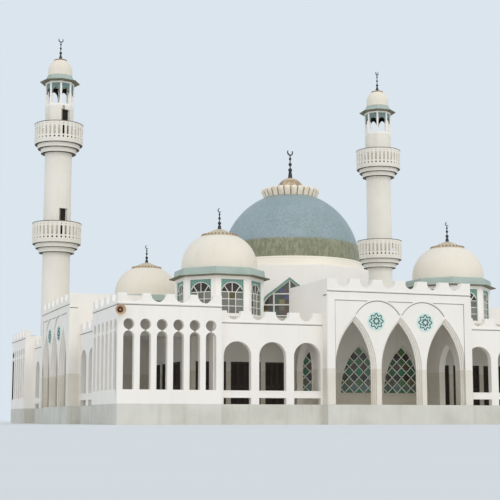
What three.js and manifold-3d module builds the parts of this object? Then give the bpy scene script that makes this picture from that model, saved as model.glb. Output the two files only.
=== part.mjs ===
// A mosque: a hall with a verandah all round, a portal in the middle of each side, five domes and two minarets.
// Millimetres, +Z up, the front facing -Y, the origin on the ground under the middle of the plan.
// A side is built in its own frame, x along the wall and y inward from its face, and then turned into place.
import * as THREE from "three";
import { mergeVertices } from "three/addons/utils/BufferGeometryUtils.js";
import Module from "manifold-3d";

const wasm = await Module();
wasm.setup();

// The gap that stands between two pieces that touch
const GAP = 0.3;
// Corners closer than this to a straight edge, which booleans leave, are taken out
const SLIVER = 0.02;
// How far one solid reaches into another that it is joined to or cut from
const BITE = 10;

const HALF_WIDTH = 18630;
const HALF_DEPTH = 19715;
const FLOOR = 1240;
const OUTER_WALL = 400;
const HALL_WALL = 250;
// The hall's walls stand this far in front of the pavilions' inner sides
const HALL_FORWARD = 493;
const ROOF_THICKNESS = 250;
const ROOF = 7150;

// The corner pavilions, whose two outer faces are screens of slots under round holes
const CORNER = {
  width: 6482, depth: 6808, top: 7810, dips: 4, dip: 7300, dipRadius: 500, dipShare: 0.2275,
  slots: 6, margin: 340, halfSlot: 335, slotSill: 2074, slotSpring: 5217,
  holeHeight: 5952, halfNeck: 50, ledge: 7130, ledgeHeight: 110, beam: 5700,
};

// The arcades between the corners and the portals, set back from both
const WING = {
  recess: 837, ledge: 6259, ledgeHeight: 110, top: 6994, dips: 4, dip: 6454, dipRadius: 460, dipShare: 0.23,
  halfArch: 900, spring: 4215, pitchShare: 0.3322, shiftShare: 0.0194,
  railBottom: 1637, railTop: 2074, roofThickness: 300,
};

const PORTAL = {
  frontHalf: 5134, sideHalf: 5325,
  top: 9198, dips: 6, dip: 8668, dipRadius: 460, dipShare: 0.156, plainTop: 9160,
  archPitch: 3227, halfArch: 1451, halfInner: 1237, spring: 3534, apex: 6826, innerApex: 6464,
  reveal: 200, wall: 450, roofTop: 8444, cornice: 8400, corniceHeight: 90, panelLine: 7830,
  panelHeight: 60, panelHalf: 4550, leftArch: [2550, 5070], rightArch: [1500, 3700], sideArchSpring: 3534,
  sideArchApex: 5350, rearWall: 400, medallionRadius: 620, medallionHeight: 6540, medallionSpot: 1750,
};
const LEDGE_REACH = 60;

const HALL_WINDOW = { pitch: 3270, halfWidth: 1460, sill: 2070, spring: 2120, apex: 5500 };
const HALL_DOOR = { width: 2120, pitch: 2440, farthest: 11830, nearest: 5234, head: 4120 };
const GLAZING = { thickness: 60, margin: 430, over: 100 };

const SMALL_DOME = {
  x: 9021, y: 9811, drumRadius: 3097, drumWall: 300, drumTop: 10000, eaveRadius: 3534,
  eaveTopRadius: 2976, eaveTop: 10574, windowWidth: 1609, windowSill: 7384, windowHead: 9719,
  radius: 2650, stilt: 280, shell: 200, top: 13485, capRadius: 1330, capLift: 60, finial: 1544,
};

const MAIN = {
  y: -651, drumRadius: 6538, drumWall: 450, drumTop: 11765, ringRadius: 5673, ringInner: 5000,
  ringTop: 12509, radius: 5487, rise: 5720, centre: 12555, shell: 250, crownRadius: 2150, crownFlare: 130,
  crownWall: 200, crownTop: 18560, crownFloor: 17930, capRadius: 1250, capTop: 19530, finial: 2418,
};
// The head of a drum window: half-widths and heights from the springing to the point
const DRUM_WINDOW = { sill: 7384, head: [[2232, 8835], [1925, 9272], [1116, 9942], [0, 10825]] };

const MINARET = {
  x: 15698, y: 15475, radius: 1200, upperRadius: 1181, bore: 1000, tower: 27854,
  lowBalcony: 15624, highBalcony: 24506, slab: 160, flare: 1116, lip: 90, balconyRadius: 2139, railHeight: 1780,
  railWall: 110, doorWidth: 720, doorHeight: 2850,
  lanternSpring: 29100, lanternApex: 29621, lanternTop: 30076, halfLantern: 330,
  eaveRadius: 1767, eaveTop: 30737, capRadius: 1088, capTop: 32429, finial: 2167,
};
// The mouldings under a balcony: how far each step stands out of the shaft and lies below the slab
const CORBELS = [[381, 970], [381, 620], [846, 370]];

const SPEAKER = { radius: 330, length: 520, arm: 60, x: -18600, z: 6730 };

const PAINT = {
  white: [0xe9e7e3, 0.85], cream: [0xe2dac8, 0.75], plaster: [0xdedcd6, 0.9], slate: [0x91a5aa, 0.7],
  celadon: [0xb4c3b9, 0.6], tan: [0xcdb996, 0.7], glass: [0x6e6c64, 0.2], shaft: [0xe4dece, 0.8],
  beige: [0xb9a88c, 0.6],
};

function solidOf(geometry) {
  const bare = new THREE.BufferGeometry();
  bare.setAttribute("position", geometry.getAttribute("position"));
  if (geometry.index) bare.setIndex(geometry.index);
  const merged = mergeVertices(bare, 1e-3);
  return new wasm.Manifold(new wasm.Mesh({
    numProp: 3,
    vertProperties: merged.attributes.position.array,
    triVerts: new Uint32Array(merged.index.array),
  }));
}

function meshOf(name, solid, [color, roughness]) {
  const { vertProperties, triVerts } = solid.simplify(SLIVER).getMesh();
  const geometry = new THREE.BufferGeometry();
  geometry.setAttribute("position", new THREE.BufferAttribute(vertProperties, 3));
  geometry.setIndex(new THREE.BufferAttribute(triVerts, 1));
  geometry.computeVertexNormals();
  const material = new THREE.MeshStandardMaterial({ color, roughness, metalness: 0 });
  const mesh = new THREE.Mesh(geometry, material);
  mesh.name = name;
  return mesh;
}

const join = (solids) => wasm.Manifold.union(solids);
const vectors = (points) => points.map(([x, y]) => new THREE.Vector2(x, y));
const radians = THREE.MathUtils.degToRad;

function box(x0, x1, y0, y1, z0, z1) {
  const geometry = new THREE.BoxGeometry(x1 - x0, y1 - y0, z1 - z0);
  return solidOf(geometry).translate([(x0 + x1) / 2, (y0 + y1) / 2, (z0 + z1) / 2]);
}

function prism(outline, y0, y1) {
  const shape = new THREE.Shape(vectors(outline));
  const geometry = new THREE.ExtrudeGeometry(shape, { depth: y1 - y0, bevelEnabled: false });
  return solidOf(geometry.rotateX(Math.PI / 2)).translate([0, y1, 0]);
}

// An outline in x and z with its holes, as a wall from y0 to y1
function wall(outline, holes, y0, y1) {
  const whole = prism(outline, y0, y1);
  if (!holes.length) return whole;
  return whole.subtract(join(holes.map((hole) => prism(hole, y0 - 1, y1 + 1))));
}

// A profile of radius and height, turned about Z. The first corner of the polygon stands at the start angle.
function turned(profile, segments, start = 0) {
  const geometry = new THREE.LatheGeometry(vectors(profile), segments, radians(start));
  return solidOf(geometry.rotateX(Math.PI / 2));
}

function arc(x, z, radius, from, to, steps) {
  const points = [];
  for (let i = 0; i <= steps; i++) {
    const angle = radians(from + ((to - from) * i) / steps);
    points.push([x + radius * Math.cos(angle), z + radius * Math.sin(angle)]);
  }
  return points;
}

function roundArch(x, half, sill, spring) {
  return [[x - half, sill], [x + half, sill], ...arc(x, spring, half, 0, 180, 8)];
}

function pointedArch(x, half, sill, spring, apex, steps = 4) {
  const rise = apex - spring;
  const radius = (half * half + rise * rise) / (2 * half);
  const sweep = THREE.MathUtils.radToDeg(Math.asin(rise / radius));
  const right = arc(x + half - radius, spring, radius, 0, sweep, steps);
  const left = arc(x - half + radius, spring, radius, 180 - sweep, 180, steps);
  return [[x - half, sill], [x + half, sill], ...right, ...left.slice(1)];
}

// The top line of a parapet from x1 back to x0: flat merlons, and round dips a share of the length apart
function parapet(x0, x1, { top, dips, dip, dipRadius, dipShare }) {
  const points = [[x1, top]];
  for (let i = dips - 1; i >= 0; i--) {
    const x = (x0 + x1) / 2 + (x1 - x0) * dipShare * (i - (dips - 1) / 2);
    points.push([x + dipRadius, top], ...arc(x, dip + dipRadius, dipRadius, 0, -180, 4));
    points.push([x - dipRadius, top]);
  }
  return [...points, [x0, top]];
}

function ledge(x0, x1, face, z, height) {
  return box(x0, x1, face - LEDGE_REACH, face + 1, z, z + height);
}

// A narrow slot that opens through a neck into a round hole above it
function keyhole(x) {
  const { halfSlot, slotSill, slotSpring, holeHeight, halfNeck } = CORNER;
  const bite = THREE.MathUtils.radToDeg(Math.asin(halfNeck / halfSlot));
  const right = arc(x, slotSpring, halfSlot, 0, 90 - bite, 2);
  const left = arc(x, slotSpring, halfSlot, 90 + bite, 180, 2);
  const hole = arc(x, holeHeight, halfSlot, -90 + bite, 270 - bite, 7);
  return [[x - halfSlot, slotSill], [x + halfSlot, slotSill], ...right, ...hole, ...left];
}

function screen(length) {
  const bottom = FLOOR + GAP;
  const pitch = (length - 2 * (CORNER.margin + CORNER.halfSlot)) / (CORNER.slots - 1);
  const holes = Array.from({ length: CORNER.slots }, (_, i) =>
    keyhole(CORNER.margin + CORNER.halfSlot + pitch * i),
  );
  const line = parapet(0, length, CORNER);
  return join([
    wall([[0, bottom], [length, bottom], ...line], holes, 0, OUTER_WALL),
    ledge(-LEDGE_REACH, length, 0, CORNER.ledge, CORNER.ledgeHeight),
  ]);
}

// The front left pavilion, with the building's corner at x 0, y 0.
// Beams over the arcades' roofs close its inner sides.
function cornerPavilion() {
  const { width, depth } = CORNER;
  const quarter = (solid) => solid.rotate([0, 0, 90]).mirror([1, 0, 0]);
  const x = width - OUTER_WALL;
  const y = depth - OUTER_WALL;
  const pier = (x0, x1, y0, y1) => box(x0, x1, y0, y1, FLOOR + GAP, CORNER.beam + 1);
  const beam = (x0, x1, y0, y1) => box(x0, x1, y0, y1, CORNER.beam, CORNER.dip);
  return join([
    screen(width),
    quarter(screen(depth)),
    pier(x, width, BITE, WING.recess + OUTER_WALL),
    pier(BITE, WING.recess + OUTER_WALL, y, depth),
    pier(x, width, y, depth),
    beam(x, width, BITE, depth),
    beam(BITE, width, y, depth),
    box(BITE, width - BITE, BITE, depth - BITE, ROOF - ROOF_THICKNESS, ROOF),
  ]);
}

function wing(start, end, inset) {
  const { recess, spring, halfArch, railBottom, railTop } = WING;
  const length = end - start;
  const bottom = FLOOR + GAP;
  const middle = (start + end) / 2 - length * WING.shiftShare;
  const centres = [-1, 0, 1].map((i) => middle + i * length * WING.pitchShare);
  const slot = (x) => [
    [x - halfArch, bottom], [x - halfArch, railBottom], [x + halfArch, railBottom], [x + halfArch, bottom],
  ];
  const outline = [[start, bottom], ...centres.flatMap(slot), [end, bottom], ...parapet(start, end, WING)];
  const arches = centres.map((x) => roundArch(x, halfArch, railTop, spring));
  return join([
    wall(outline, arches, recess, recess + OUTER_WALL),
    ledge(start, end, recess, WING.ledge, WING.ledgeHeight),
    box(start, end, recess + 1, inset - GAP, WING.ledge - WING.roofThickness, WING.ledge),
  ]);
}

function portalFront(half) {
  const { archPitch, halfArch, halfInner, spring, apex, innerApex, reveal } = PORTAL;
  const bottom = FLOOR + GAP;
  const line = parapet(-half, half, PORTAL);
  const axes = [-archPitch, 0, archPitch];
  const below = bottom - BITE;
  const openings = axes.map((x) => pointedArch(x, halfArch, below, spring, apex));
  const face = wall([[-half, bottom], [half, bottom], ...line], openings, 0, PORTAL.wall);
  const liner = (x) => wall(
    pointedArch(x, halfArch + 20, bottom, spring, apex + 40),
    [pointedArch(x, halfInner, below, spring, innerApex)], reveal, PORTAL.wall,
  );
  const disc = (x) => wall(arc(x, PORTAL.medallionHeight, PORTAL.medallionRadius, 0, 337.5, 15), [], -50, 1);
  const discs = [-PORTAL.medallionSpot, PORTAL.medallionSpot].map(disc);
  const { panelHalf, panelLine, panelHeight } = PORTAL;
  return join([
    face, ...axes.map(liner), ...discs,
    ledge(-half, half, 0, PORTAL.cornice, PORTAL.corniceHeight),
    box(-panelHalf, panelHalf, -LEDGE_REACH / 2, 1, panelLine, panelLine + panelHeight),
  ]);
}

// The two side walls of a portal, its roof and the wall over the hall's roof
function portalShell(half, inset) {
  const bottom = FLOOR + GAP;
  const near = PORTAL.wall + GAP;
  const far = inset - GAP;
  const outline = [[near, bottom], [far, bottom], [far, PORTAL.plainTop], [near, PORTAL.plainTop]];
  const standing = ([start, end]) => {
    const middle = (start + end) / 2;
    const opening = pointedArch(
      middle, end - middle, bottom - BITE, PORTAL.sideArchSpring, PORTAL.sideArchApex,
    );
    return wall(outline, [opening], 0, OUTER_WALL).rotate([0, 0, 90]);
  };
  return join([
    standing(PORTAL.rightArch).translate([half, 0, 0]),
    standing(PORTAL.leftArch).translate([-half + OUTER_WALL, 0, 0]),
    box(-half + 1, half - 1, far - PORTAL.rearWall, far, ROOF - ROOF_THICKNESS, PORTAL.plainTop),
    box(-half + 1, half - 1, near, far - 1, PORTAL.roofTop - ROOF_THICKNESS, PORTAL.roofTop),
  ]);
}

function doorSpans(end) {
  const { width, pitch, farthest, nearest } = HALL_DOOR;
  const shift = end - (HALF_WIDTH - CORNER.width);
  const spans = [];
  for (let far = farthest + shift; far > nearest + shift; far -= pitch)
    spans.push([Math.max(far - width, nearest + shift), far]);
  return spans;
}

function hallWall(half, doorEnd) {
  const bottom = FLOOR + GAP;
  const top = ROOF - ROOF_THICKNESS - GAP;
  const { pitch, halfWidth, sill, spring, apex } = HALL_WINDOW;
  const windows = [-pitch, 0, pitch].map((x) => pointedArch(x, halfWidth, sill, spring, apex));
  const panel = wall([[-half, bottom], [half, bottom], [half, top], [-half, top]], windows, 0, HALL_WALL);
  const cutters = doorSpans(doorEnd).flatMap(([near, far]) => [
    box(near, far, -1, HALL_WALL + 1, bottom - 1, HALL_DOOR.head),
    box(-far, -near, -1, HALL_WALL + 1, bottom - 1, HALL_DOOR.head),
  ]);
  return panel.subtract(join(cutters));
}

// A plug that cuts a well of a radius through a roof
function wellCutter(radius, segments, start = 0) {
  const [low, high] = [ROOF - ROOF_THICKNESS - BITE, ROOF + BITE];
  return turned([[0, low], [radius, low], [radius, high], [0, high]], segments, start);
}

// The roof covers the hall's walls, and stops short of the pavilions at its corners
function hallRoof() {
  const x = HALF_WIDTH - CORNER.width - GAP;
  const y = HALF_DEPTH - CORNER.depth - GAP;
  const part = (hx, hy) => box(-hx, hx, -hy, hy, ROOF - ROOF_THICKNESS, ROOF);
  const slab = join([part(x, y + HALL_FORWARD), part(x + HALL_FORWARD, y)]);
  const well = (radius, start) => wellCutter(radius, 8, start);
  const small = well(SMALL_DOME.drumRadius - 500, 22.5);
  const wells = [[-1, -1], [1, -1], [1, 1], [-1, 1]].map(([i, j]) =>
    small.translate([i * SMALL_DOME.x, j * SMALL_DOME.y, 0]),
  );
  const main = well(MAIN.drumRadius - 700, 0).translate([0, MAIN.y, 0]);
  return slab.subtract(join([...wells, main]));
}

// A finial's balls as a profile, from a height up to its tip, with a stem between them
function finialProfile(z, height) {
  const ball = height * 0.075;
  const stem = height * 0.02;
  return [
    [ball, z], [ball, z + height * 0.08], [stem, z + height * 0.17], [stem, z + height * 0.26],
    [ball, z + height * 0.34], [stem, z + height * 0.42], [stem, z + height * 0.75], [0, z + height * 0.76],
  ];
}

function crescent(z, height) {
  const radius = height * 0.13;
  const outer = arc(0, z + height - radius, radius, 120, 420, 7);
  const inner = arc(0, z + height - radius * 0.88, radius * 0.78, 408, 132, 5);
  return wall([...outer, ...inner], [], -height * 0.012, height * 0.012);
}

function quarterDome(radius, height, z, steps, endRadius = 0) {
  const end = THREE.MathUtils.radToDeg(Math.acos(endRadius / radius));
  return arc(0, 0, 1, 0, end, steps).map(([c, s]) => [radius * c, z + height * s]);
}

function smallDome() {
  const { radius, eaveTop, stilt, shell, top, capRadius, capLift, finial } = SMALL_DOME;
  const base = eaveTop + GAP;
  const spring = base + stilt;
  const inner = quarterDome(radius - shell, top - shell - spring, spring, 3).reverse();
  const outer = quarterDome(radius, top - spring, spring, 4, capRadius);
  const lift = outer[outer.length - 1][1] + capLift;
  const cap = [[capRadius, lift], [capRadius * 0.5, top + 20]];
  const body = turned([
    ...inner, [radius - shell, base], [radius, base], ...outer, ...cap,
    ...finialProfile(top + capLift, finial - capLift),
  ], 16);
  return join([body, crescent(top, finial)]);
}

function smallDrum() {
  const { drumRadius, drumWall, drumTop, eaveRadius, eaveTopRadius, eaveTop } = SMALL_DOME;
  const { windowWidth, windowSill, windowHead, radius, shell } = SMALL_DOME;
  const bottom = ROOF + GAP;
  const inner = drumRadius - drumWall / Math.cos(radians(22.5));
  const lip = (radius - shell) / Math.cos(radians(22.5)) - 200;
  const body = turned([
    [drumRadius, bottom], [drumRadius, drumTop], [eaveRadius, drumTop], [eaveRadius, drumTop + 40],
    [eaveTopRadius, eaveTop], [lip, eaveTop], [lip, drumTop], [inner, drumTop - 100], [inner, bottom],
    [drumRadius, bottom],
  ], 8, 22.5);
  const reach = drumRadius + 100;
  const bar = box(-reach, reach, -windowWidth / 2, windowWidth / 2, windowSill, windowHead);
  return body.subtract(join([0, 45, 90, 135].map((angle) => bar.rotate([0, 0, angle]))));
}

// A ring of glass inside a drum, with a set number of sides
function drumGlazing(radius, wallThickness, bottom, top, start) {
  const share = 1 / Math.cos(radians(22.5));
  const outer = radius - (wallThickness + GAP) * share;
  const inner = outer - GLAZING.thickness * share;
  return turned([[outer, bottom], [outer, top], [inner, top], [inner, bottom], [outer, bottom]], 8, start);
}

function mainDrum() {
  const { drumRadius, drumWall, drumTop, ringInner } = MAIN;
  const share = 1 / Math.cos(radians(22.5));
  const bottom = ROOF + GAP;
  const inner = drumRadius - drumWall * share;
  const lip = ringInner * share;
  const body = turned([
    [drumRadius, bottom], [drumRadius, drumTop], [lip, drumTop], [lip, drumTop - ROOF_THICKNESS],
    [inner, drumTop - ROOF_THICKNESS], [inner, bottom], [drumRadius, bottom],
  ], 8);
  const right = DRUM_WINDOW.head;
  const left = right.slice(0, -1).reverse().map(([x, z]) => [-x, z]);
  const half = right[0][0];
  const opening = [[-half, DRUM_WINDOW.sill], [half, DRUM_WINDOW.sill], ...right, ...left];
  const cutter = wall(opening, [], -drumRadius, drumRadius);
  return body.subtract(join([cutter.rotate([0, 0, -22.5]), cutter.rotate([0, 0, 67.5])]));
}

function mainRing() {
  const { ringRadius, ringInner, drumTop, ringTop } = MAIN;
  const bottom = drumTop + GAP;
  return turned([
    [ringRadius, bottom], [ringRadius, ringTop], [ringInner, ringTop], [ringInner, bottom],
    [ringRadius, bottom],
  ], 28);
}

function mainDome() {
  const { radius, rise, centre, shell, crownRadius, ringTop } = MAIN;
  const base = ringTop + GAP;
  const inner = quarterDome(radius - shell, rise - shell, centre, 4, crownRadius - shell).reverse();
  const outer = quarterDome(radius, rise, centre, 6, crownRadius);
  const top = outer[outer.length - 1][1];
  return turned([
    [0, inner[0][1]], ...inner, [radius - shell, base], [radius, base], ...outer, [0, top],
  ], 28);
}

function mainCrown() {
  const { crownRadius, crownWall, crownTop, crownFloor, capRadius, capTop, finial } = MAIN;
  const base = MAIN.centre + MAIN.rise * Math.sqrt(1 - (crownRadius / MAIN.radius) ** 2) + GAP;
  const cap = quarterDome(capRadius, capTop - crownFloor, crownFloor, 4).slice(0, -1);
  const body = turned([
    [0, base], [crownRadius, base], [crownRadius + MAIN.crownFlare, crownTop],
    [crownRadius - crownWall, crownTop],
    [crownRadius - crownWall, crownFloor], ...cap, ...finialProfile(capTop - 20, finial),
  ], 16);
  return join([body, crescent(capTop, finial)]);
}

function balconyProfile(shaft, slabBase) {
  const mouldings = CORBELS.map(([reach, drop]) => [shaft + reach, slabBase - drop]);
  const top = slabBase + MINARET.slab;
  return [
    [shaft, slabBase - MINARET.flare], ...mouldings, [MINARET.balconyRadius, slabBase - MINARET.lip],
    [MINARET.balconyRadius, top], [shaft, top],
  ];
}

function minaretShaft(doorTurn) {
  const { radius, upperRadius, bore, tower, lowBalcony, highBalcony, slab, doorWidth, doorHeight } = MINARET;
  const bottom = FLOOR + GAP;
  const octagon = upperRadius / Math.cos(radians(22.5));
  const split = highBalcony + slab;
  const tube = turned([
    [radius, bottom], ...balconyProfile(radius, lowBalcony), ...balconyProfile(upperRadius, highBalcony),
    [bore, split], [bore, bottom], [radius, bottom],
  ], 16);
  const top = turned([
    [octagon, split - 1], [octagon, tower], [bore, tower], [bore, split - 1], [octagon, split - 1],
  ], 8);
  const door = (base) => box(
    -doorWidth / 2, doorWidth / 2, -radius - 200, -radius / 2, base + slab, base + slab + doorHeight,
  ).rotate([0, 0, doorTurn]);
  return join([tube, top]).subtract(join([door(lowBalcony), door(highBalcony)]));
}

function balconyRail(slabBase) {
  const { balconyRadius, railWall, railHeight, slab } = MINARET;
  const bottom = slabBase + slab + GAP;
  const top = slabBase + railHeight;
  const inner = balconyRadius - railWall;
  return turned([
    [balconyRadius, bottom], [balconyRadius, top], [inner, top], [inner, bottom], [balconyRadius, bottom],
  ], 16);
}

function lantern() {
  const { upperRadius, bore, tower, lanternTop, lanternSpring, lanternApex, halfLantern } = MINARET;
  const share = 1 / Math.cos(radians(22.5));
  const outer = upperRadius * share;
  const inner = (bore - 40) * share;
  const bottom = tower + GAP;
  const body = turned([
    [outer, bottom], [outer, lanternTop], [inner, lanternTop], [inner, bottom], [outer, bottom],
  ], 8);
  const opening = pointedArch(0, halfLantern, bottom + 200, lanternSpring, lanternApex, 2);
  const cutter = wall(opening, [], -outer, outer);
  return body.subtract(join([22.5, 67.5, 112.5, 157.5].map((angle) => cutter.rotate([0, 0, angle]))));
}

function minaretCap() {
  const { lanternTop, eaveRadius, eaveTop, capRadius, capTop, finial } = MINARET;
  const base = lanternTop + GAP;
  const dome = quarterDome(capRadius, capTop - eaveTop - 150, eaveTop + 150, 4).slice(0, -1);
  const body = turned([
    [0, base], [capRadius, base], [eaveRadius, base + 60], [eaveRadius, base + 130],
    [capRadius + 140, eaveTop], [capRadius, eaveTop], ...dome, ...finialProfile(capTop - 20, finial),
  ], 16);
  return join([body, crescent(capTop, finial)]);
}

function loudspeaker() {
  const { radius, length, arm } = SPEAKER;
  const horn = turned([
    [0, 0], [radius * 0.35, 0], [radius * 0.35, length * 0.4], [radius, length], [radius - 20, length],
    [radius * 0.25, length * 0.45], [0, length * 0.45],
  ], 12);
  return join([horn, box(-40, 40, -40, 40, -arm, 1)]).rotate([90, 0, 0]);
}

const mosque = new THREE.Group();
const add = (name, solid, paint) => mosque.add(meshOf(name, solid, paint));

const ALONG_X = {
  reach: HALF_DEPTH, end: HALF_WIDTH - CORNER.width, inset: CORNER.depth - HALL_FORWARD, half: PORTAL.frontHalf,
};
const ALONG_Y = {
  reach: HALF_WIDTH, end: HALF_DEPTH - CORNER.depth, inset: CORNER.width - HALL_FORWARD, half: PORTAL.sideHalf,
};
const SIDES = [
  { name: "front", turn: 0, ...ALONG_X }, { name: "right", turn: 90, ...ALONG_Y },
  { name: "back", turn: 180, ...ALONG_X }, { name: "left", turn: 270, ...ALONG_Y },
];
const CORNERS = [
  { name: "front_left", x: -1, y: -1 }, { name: "front_right", x: 1, y: -1 },
  { name: "back_right", x: 1, y: 1 }, { name: "back_left", x: -1, y: 1 },
];
// The doors on a minaret's balconies are turned this far from the front
const MINARETS = [
  { prefix: "left_minaret_", x: -MINARET.x, doorTurn: 22.5 },
  { prefix: "right_minaret_", x: MINARET.x, doorTurn: 157.5 },
];

// Mirrors a solid of the front left quarter into another quarter
function inQuarter(solid, { x, y }) {
  const across = x > 0 ? solid.mirror([1, 0, 0]) : solid;
  return y > 0 ? across.mirror([0, 1, 0]) : across;
}

function plinth() {
  const x = HALF_WIDTH - WING.recess;
  const y = HALF_DEPTH - WING.recess;
  const pad = (hx, hy, cx, cy) => box(cx - hx, cx + hx, cy - hy, cy + hy, 0, FLOOR);
  const corners = CORNERS.map((corner) => pad(
    CORNER.width / 2, CORNER.depth / 2,
    corner.x * (HALF_WIDTH - CORNER.width / 2), corner.y * (HALF_DEPTH - CORNER.depth / 2),
  ));
  const across = pad(PORTAL.frontHalf, HALF_DEPTH, 0, 0);
  const along = pad(HALF_WIDTH, PORTAL.sideHalf, 0, 0);
  return join([pad(x, y, 0, 0), across, along, ...corners]);
}

function addSide({ name, turn, reach, end, inset, half }) {
  const place = (solid) => solid.translate([0, -reach, 0]).rotate([0, 0, turn]);
  const right = wing(half + GAP, end - GAP, inset);
  const hall = hallWall(end - GAP, end).translate([0, inset, 0]);
  const paneHalf = end - GLAZING.margin;
  const paneFace = inset + HALL_WALL + GAP;
  const pane = box(
    -paneHalf, paneHalf, paneFace, paneFace + GLAZING.thickness, FLOOR + GAP, HALL_WINDOW.apex + GLAZING.over,
  );
  add(name + "_arcade_right", place(right), PAINT.white);
  add(name + "_arcade_left", place(right.mirror([1, 0, 0])), PAINT.white);
  add(name + "_portal_wall", place(portalFront(half)), PAINT.white);
  add(name + "_portal_shell", place(portalShell(half, inset)), PAINT.white);
  add(name + "_hall_wall", place(hall), PAINT.plaster);
  add(name + "_hall_glazing", place(pane), PAINT.glass);
}

function addSmallDome({ name, x, y }) {
  const place = (solid) => solid.translate([x * SMALL_DOME.x, y * SMALL_DOME.y, 0]);
  const { drumRadius, drumWall, drumTop } = SMALL_DOME;
  const glass = drumGlazing(drumRadius, drumWall, ROOF + GAP, drumTop - 150, 22.5);
  add(name + "_drum", place(smallDrum()), PAINT.celadon);
  add(name + "_drum_glazing", place(glass), PAINT.glass);
  add(name + "_dome", place(smallDome()), PAINT.cream);
}

function addMainDome() {
  const place = (solid) => solid.translate([0, MAIN.y, 0]);
  const { drumRadius, drumWall, drumTop } = MAIN;
  const glass = drumGlazing(drumRadius, drumWall, ROOF + GAP, drumTop - ROOF_THICKNESS - GAP, 0);
  add("main_drum", place(mainDrum()), PAINT.white);
  add("main_drum_glazing", place(glass), PAINT.glass);
  add("main_dome_ring", place(mainRing()), PAINT.cream);
  add("main_dome", place(mainDome()), PAINT.slate);
  add("main_dome_crown", place(mainCrown()), PAINT.tan);
}

function addMinaret({ prefix, x, doorTurn }) {
  const place = (solid) => solid.translate([x, MINARET.y, 0]);
  add(prefix + "shaft", place(minaretShaft(doorTurn)), PAINT.shaft);
  add(prefix + "lower_rail", place(balconyRail(MINARET.lowBalcony)), PAINT.shaft);
  add(prefix + "upper_rail", place(balconyRail(MINARET.highBalcony)), PAINT.shaft);
  add(prefix + "lantern", place(lantern()), PAINT.white);
  add(prefix + "cap", place(minaretCap()), PAINT.cream);
}

// A back pavilion has a well in its roof, which the minaret rises through
function addPavilion(corner) {
  const pavilion = inQuarter(cornerPavilion().translate([-HALF_WIDTH, -HALF_DEPTH, 0]), corner);
  const well = wellCutter(MINARET.radius + 2 * GAP, 16).translate([corner.x * MINARET.x, MINARET.y, 0]);
  add(corner.name + "_pavilion", corner.y > 0 ? pavilion.subtract(well) : pavilion, PAINT.white);
}

add("plinth", plinth(), PAINT.plaster);
CORNERS.forEach(addPavilion);
SIDES.forEach(addSide);
add("hall_roof", hallRoof(), PAINT.plaster);
CORNERS.forEach(addSmallDome);
addMainDome();
MINARETS.forEach(addMinaret);
add(
  "loudspeaker",
  loudspeaker().translate([SPEAKER.x, -HALF_DEPTH - SPEAKER.arm - GAP, SPEAKER.z]),
  PAINT.beige,
);

export default mosque;
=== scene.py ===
import math
import bmesh
import bpy
import numpy as np
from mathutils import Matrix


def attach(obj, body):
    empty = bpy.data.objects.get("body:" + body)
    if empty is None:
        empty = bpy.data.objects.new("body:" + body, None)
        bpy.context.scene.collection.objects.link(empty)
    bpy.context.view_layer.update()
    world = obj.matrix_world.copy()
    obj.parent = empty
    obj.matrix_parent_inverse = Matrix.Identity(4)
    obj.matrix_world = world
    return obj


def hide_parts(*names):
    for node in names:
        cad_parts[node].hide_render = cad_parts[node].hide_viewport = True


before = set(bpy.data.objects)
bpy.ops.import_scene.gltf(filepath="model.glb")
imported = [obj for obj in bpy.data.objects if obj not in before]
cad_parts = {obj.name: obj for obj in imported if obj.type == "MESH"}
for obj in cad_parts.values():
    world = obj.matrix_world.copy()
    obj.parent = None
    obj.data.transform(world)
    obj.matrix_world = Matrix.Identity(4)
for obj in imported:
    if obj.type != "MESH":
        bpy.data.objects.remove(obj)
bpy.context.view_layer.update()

print("frame loaded:", len(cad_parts), "nodes")

scene = bpy.context.scene
fullTurn = 2 * math.pi

view = {"place": (-35.77, -90.22, 0.28), "pitch": 7.93, "yaw": 19.85, "lens": 87.9, "sensor": 36.0,
        "reach": 1200.0}
cameraData = bpy.data.cameras.new("camera")
cameraData.lens, cameraData.sensor_width, cameraData.clip_end = view["lens"], view["sensor"], view["reach"]
camera = bpy.data.objects.new("camera", cameraData)
camera.location = view["place"]
camera.rotation_euler = (math.radians(90 + view["pitch"]), 0, math.radians(-view["yaw"]))
scene.collection.objects.link(camera)
scene.camera = camera


def rgb(code):
    # Six hex digits, as a picture stores a colour, turned into light
    c = np.array([int(code[i:i + 2], 16) for i in (0, 2, 4)]) / 255
    light = np.where(c > 0.04045, ((c + 0.055) / 1.055) ** 2.4, c / 12.92)
    return (*[float(v) for v in light], 1.0)


class Term:
    # A socket that takes Python's operators; each one adds a Math node
    def __init__(self, finish, socket):
        self.finish, self.socket = finish, socket

    def math(self, operation, *others, first=True):
        values = [self, *others] if first else [*others, self]
        return self.finish.node("ShaderNodeMath", {"operation": operation}, dict(enumerate(values)))

    def __add__(self, other): return self.math("ADD", other)
    def __radd__(self, other): return self.math("ADD", other, first=False)
    def __sub__(self, other): return self.math("SUBTRACT", other)
    def __rsub__(self, other): return self.math("SUBTRACT", other, first=False)
    def __mul__(self, other): return self.math("MULTIPLY", other)
    def __rmul__(self, other): return self.math("MULTIPLY", other, first=False)
    def __truediv__(self, other): return self.math("DIVIDE", other)

    def ramp(self, low, high):
        # 0 below low, 1 above high, smooth between
        return self.finish.node(
            "ShaderNodeMapRange", {"interpolation_type": "SMOOTHSTEP"},
            {"Value": self, "From Min": low, "From Max": high, "To Min": 0.0, "To Max": 1.0},
        )


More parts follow.
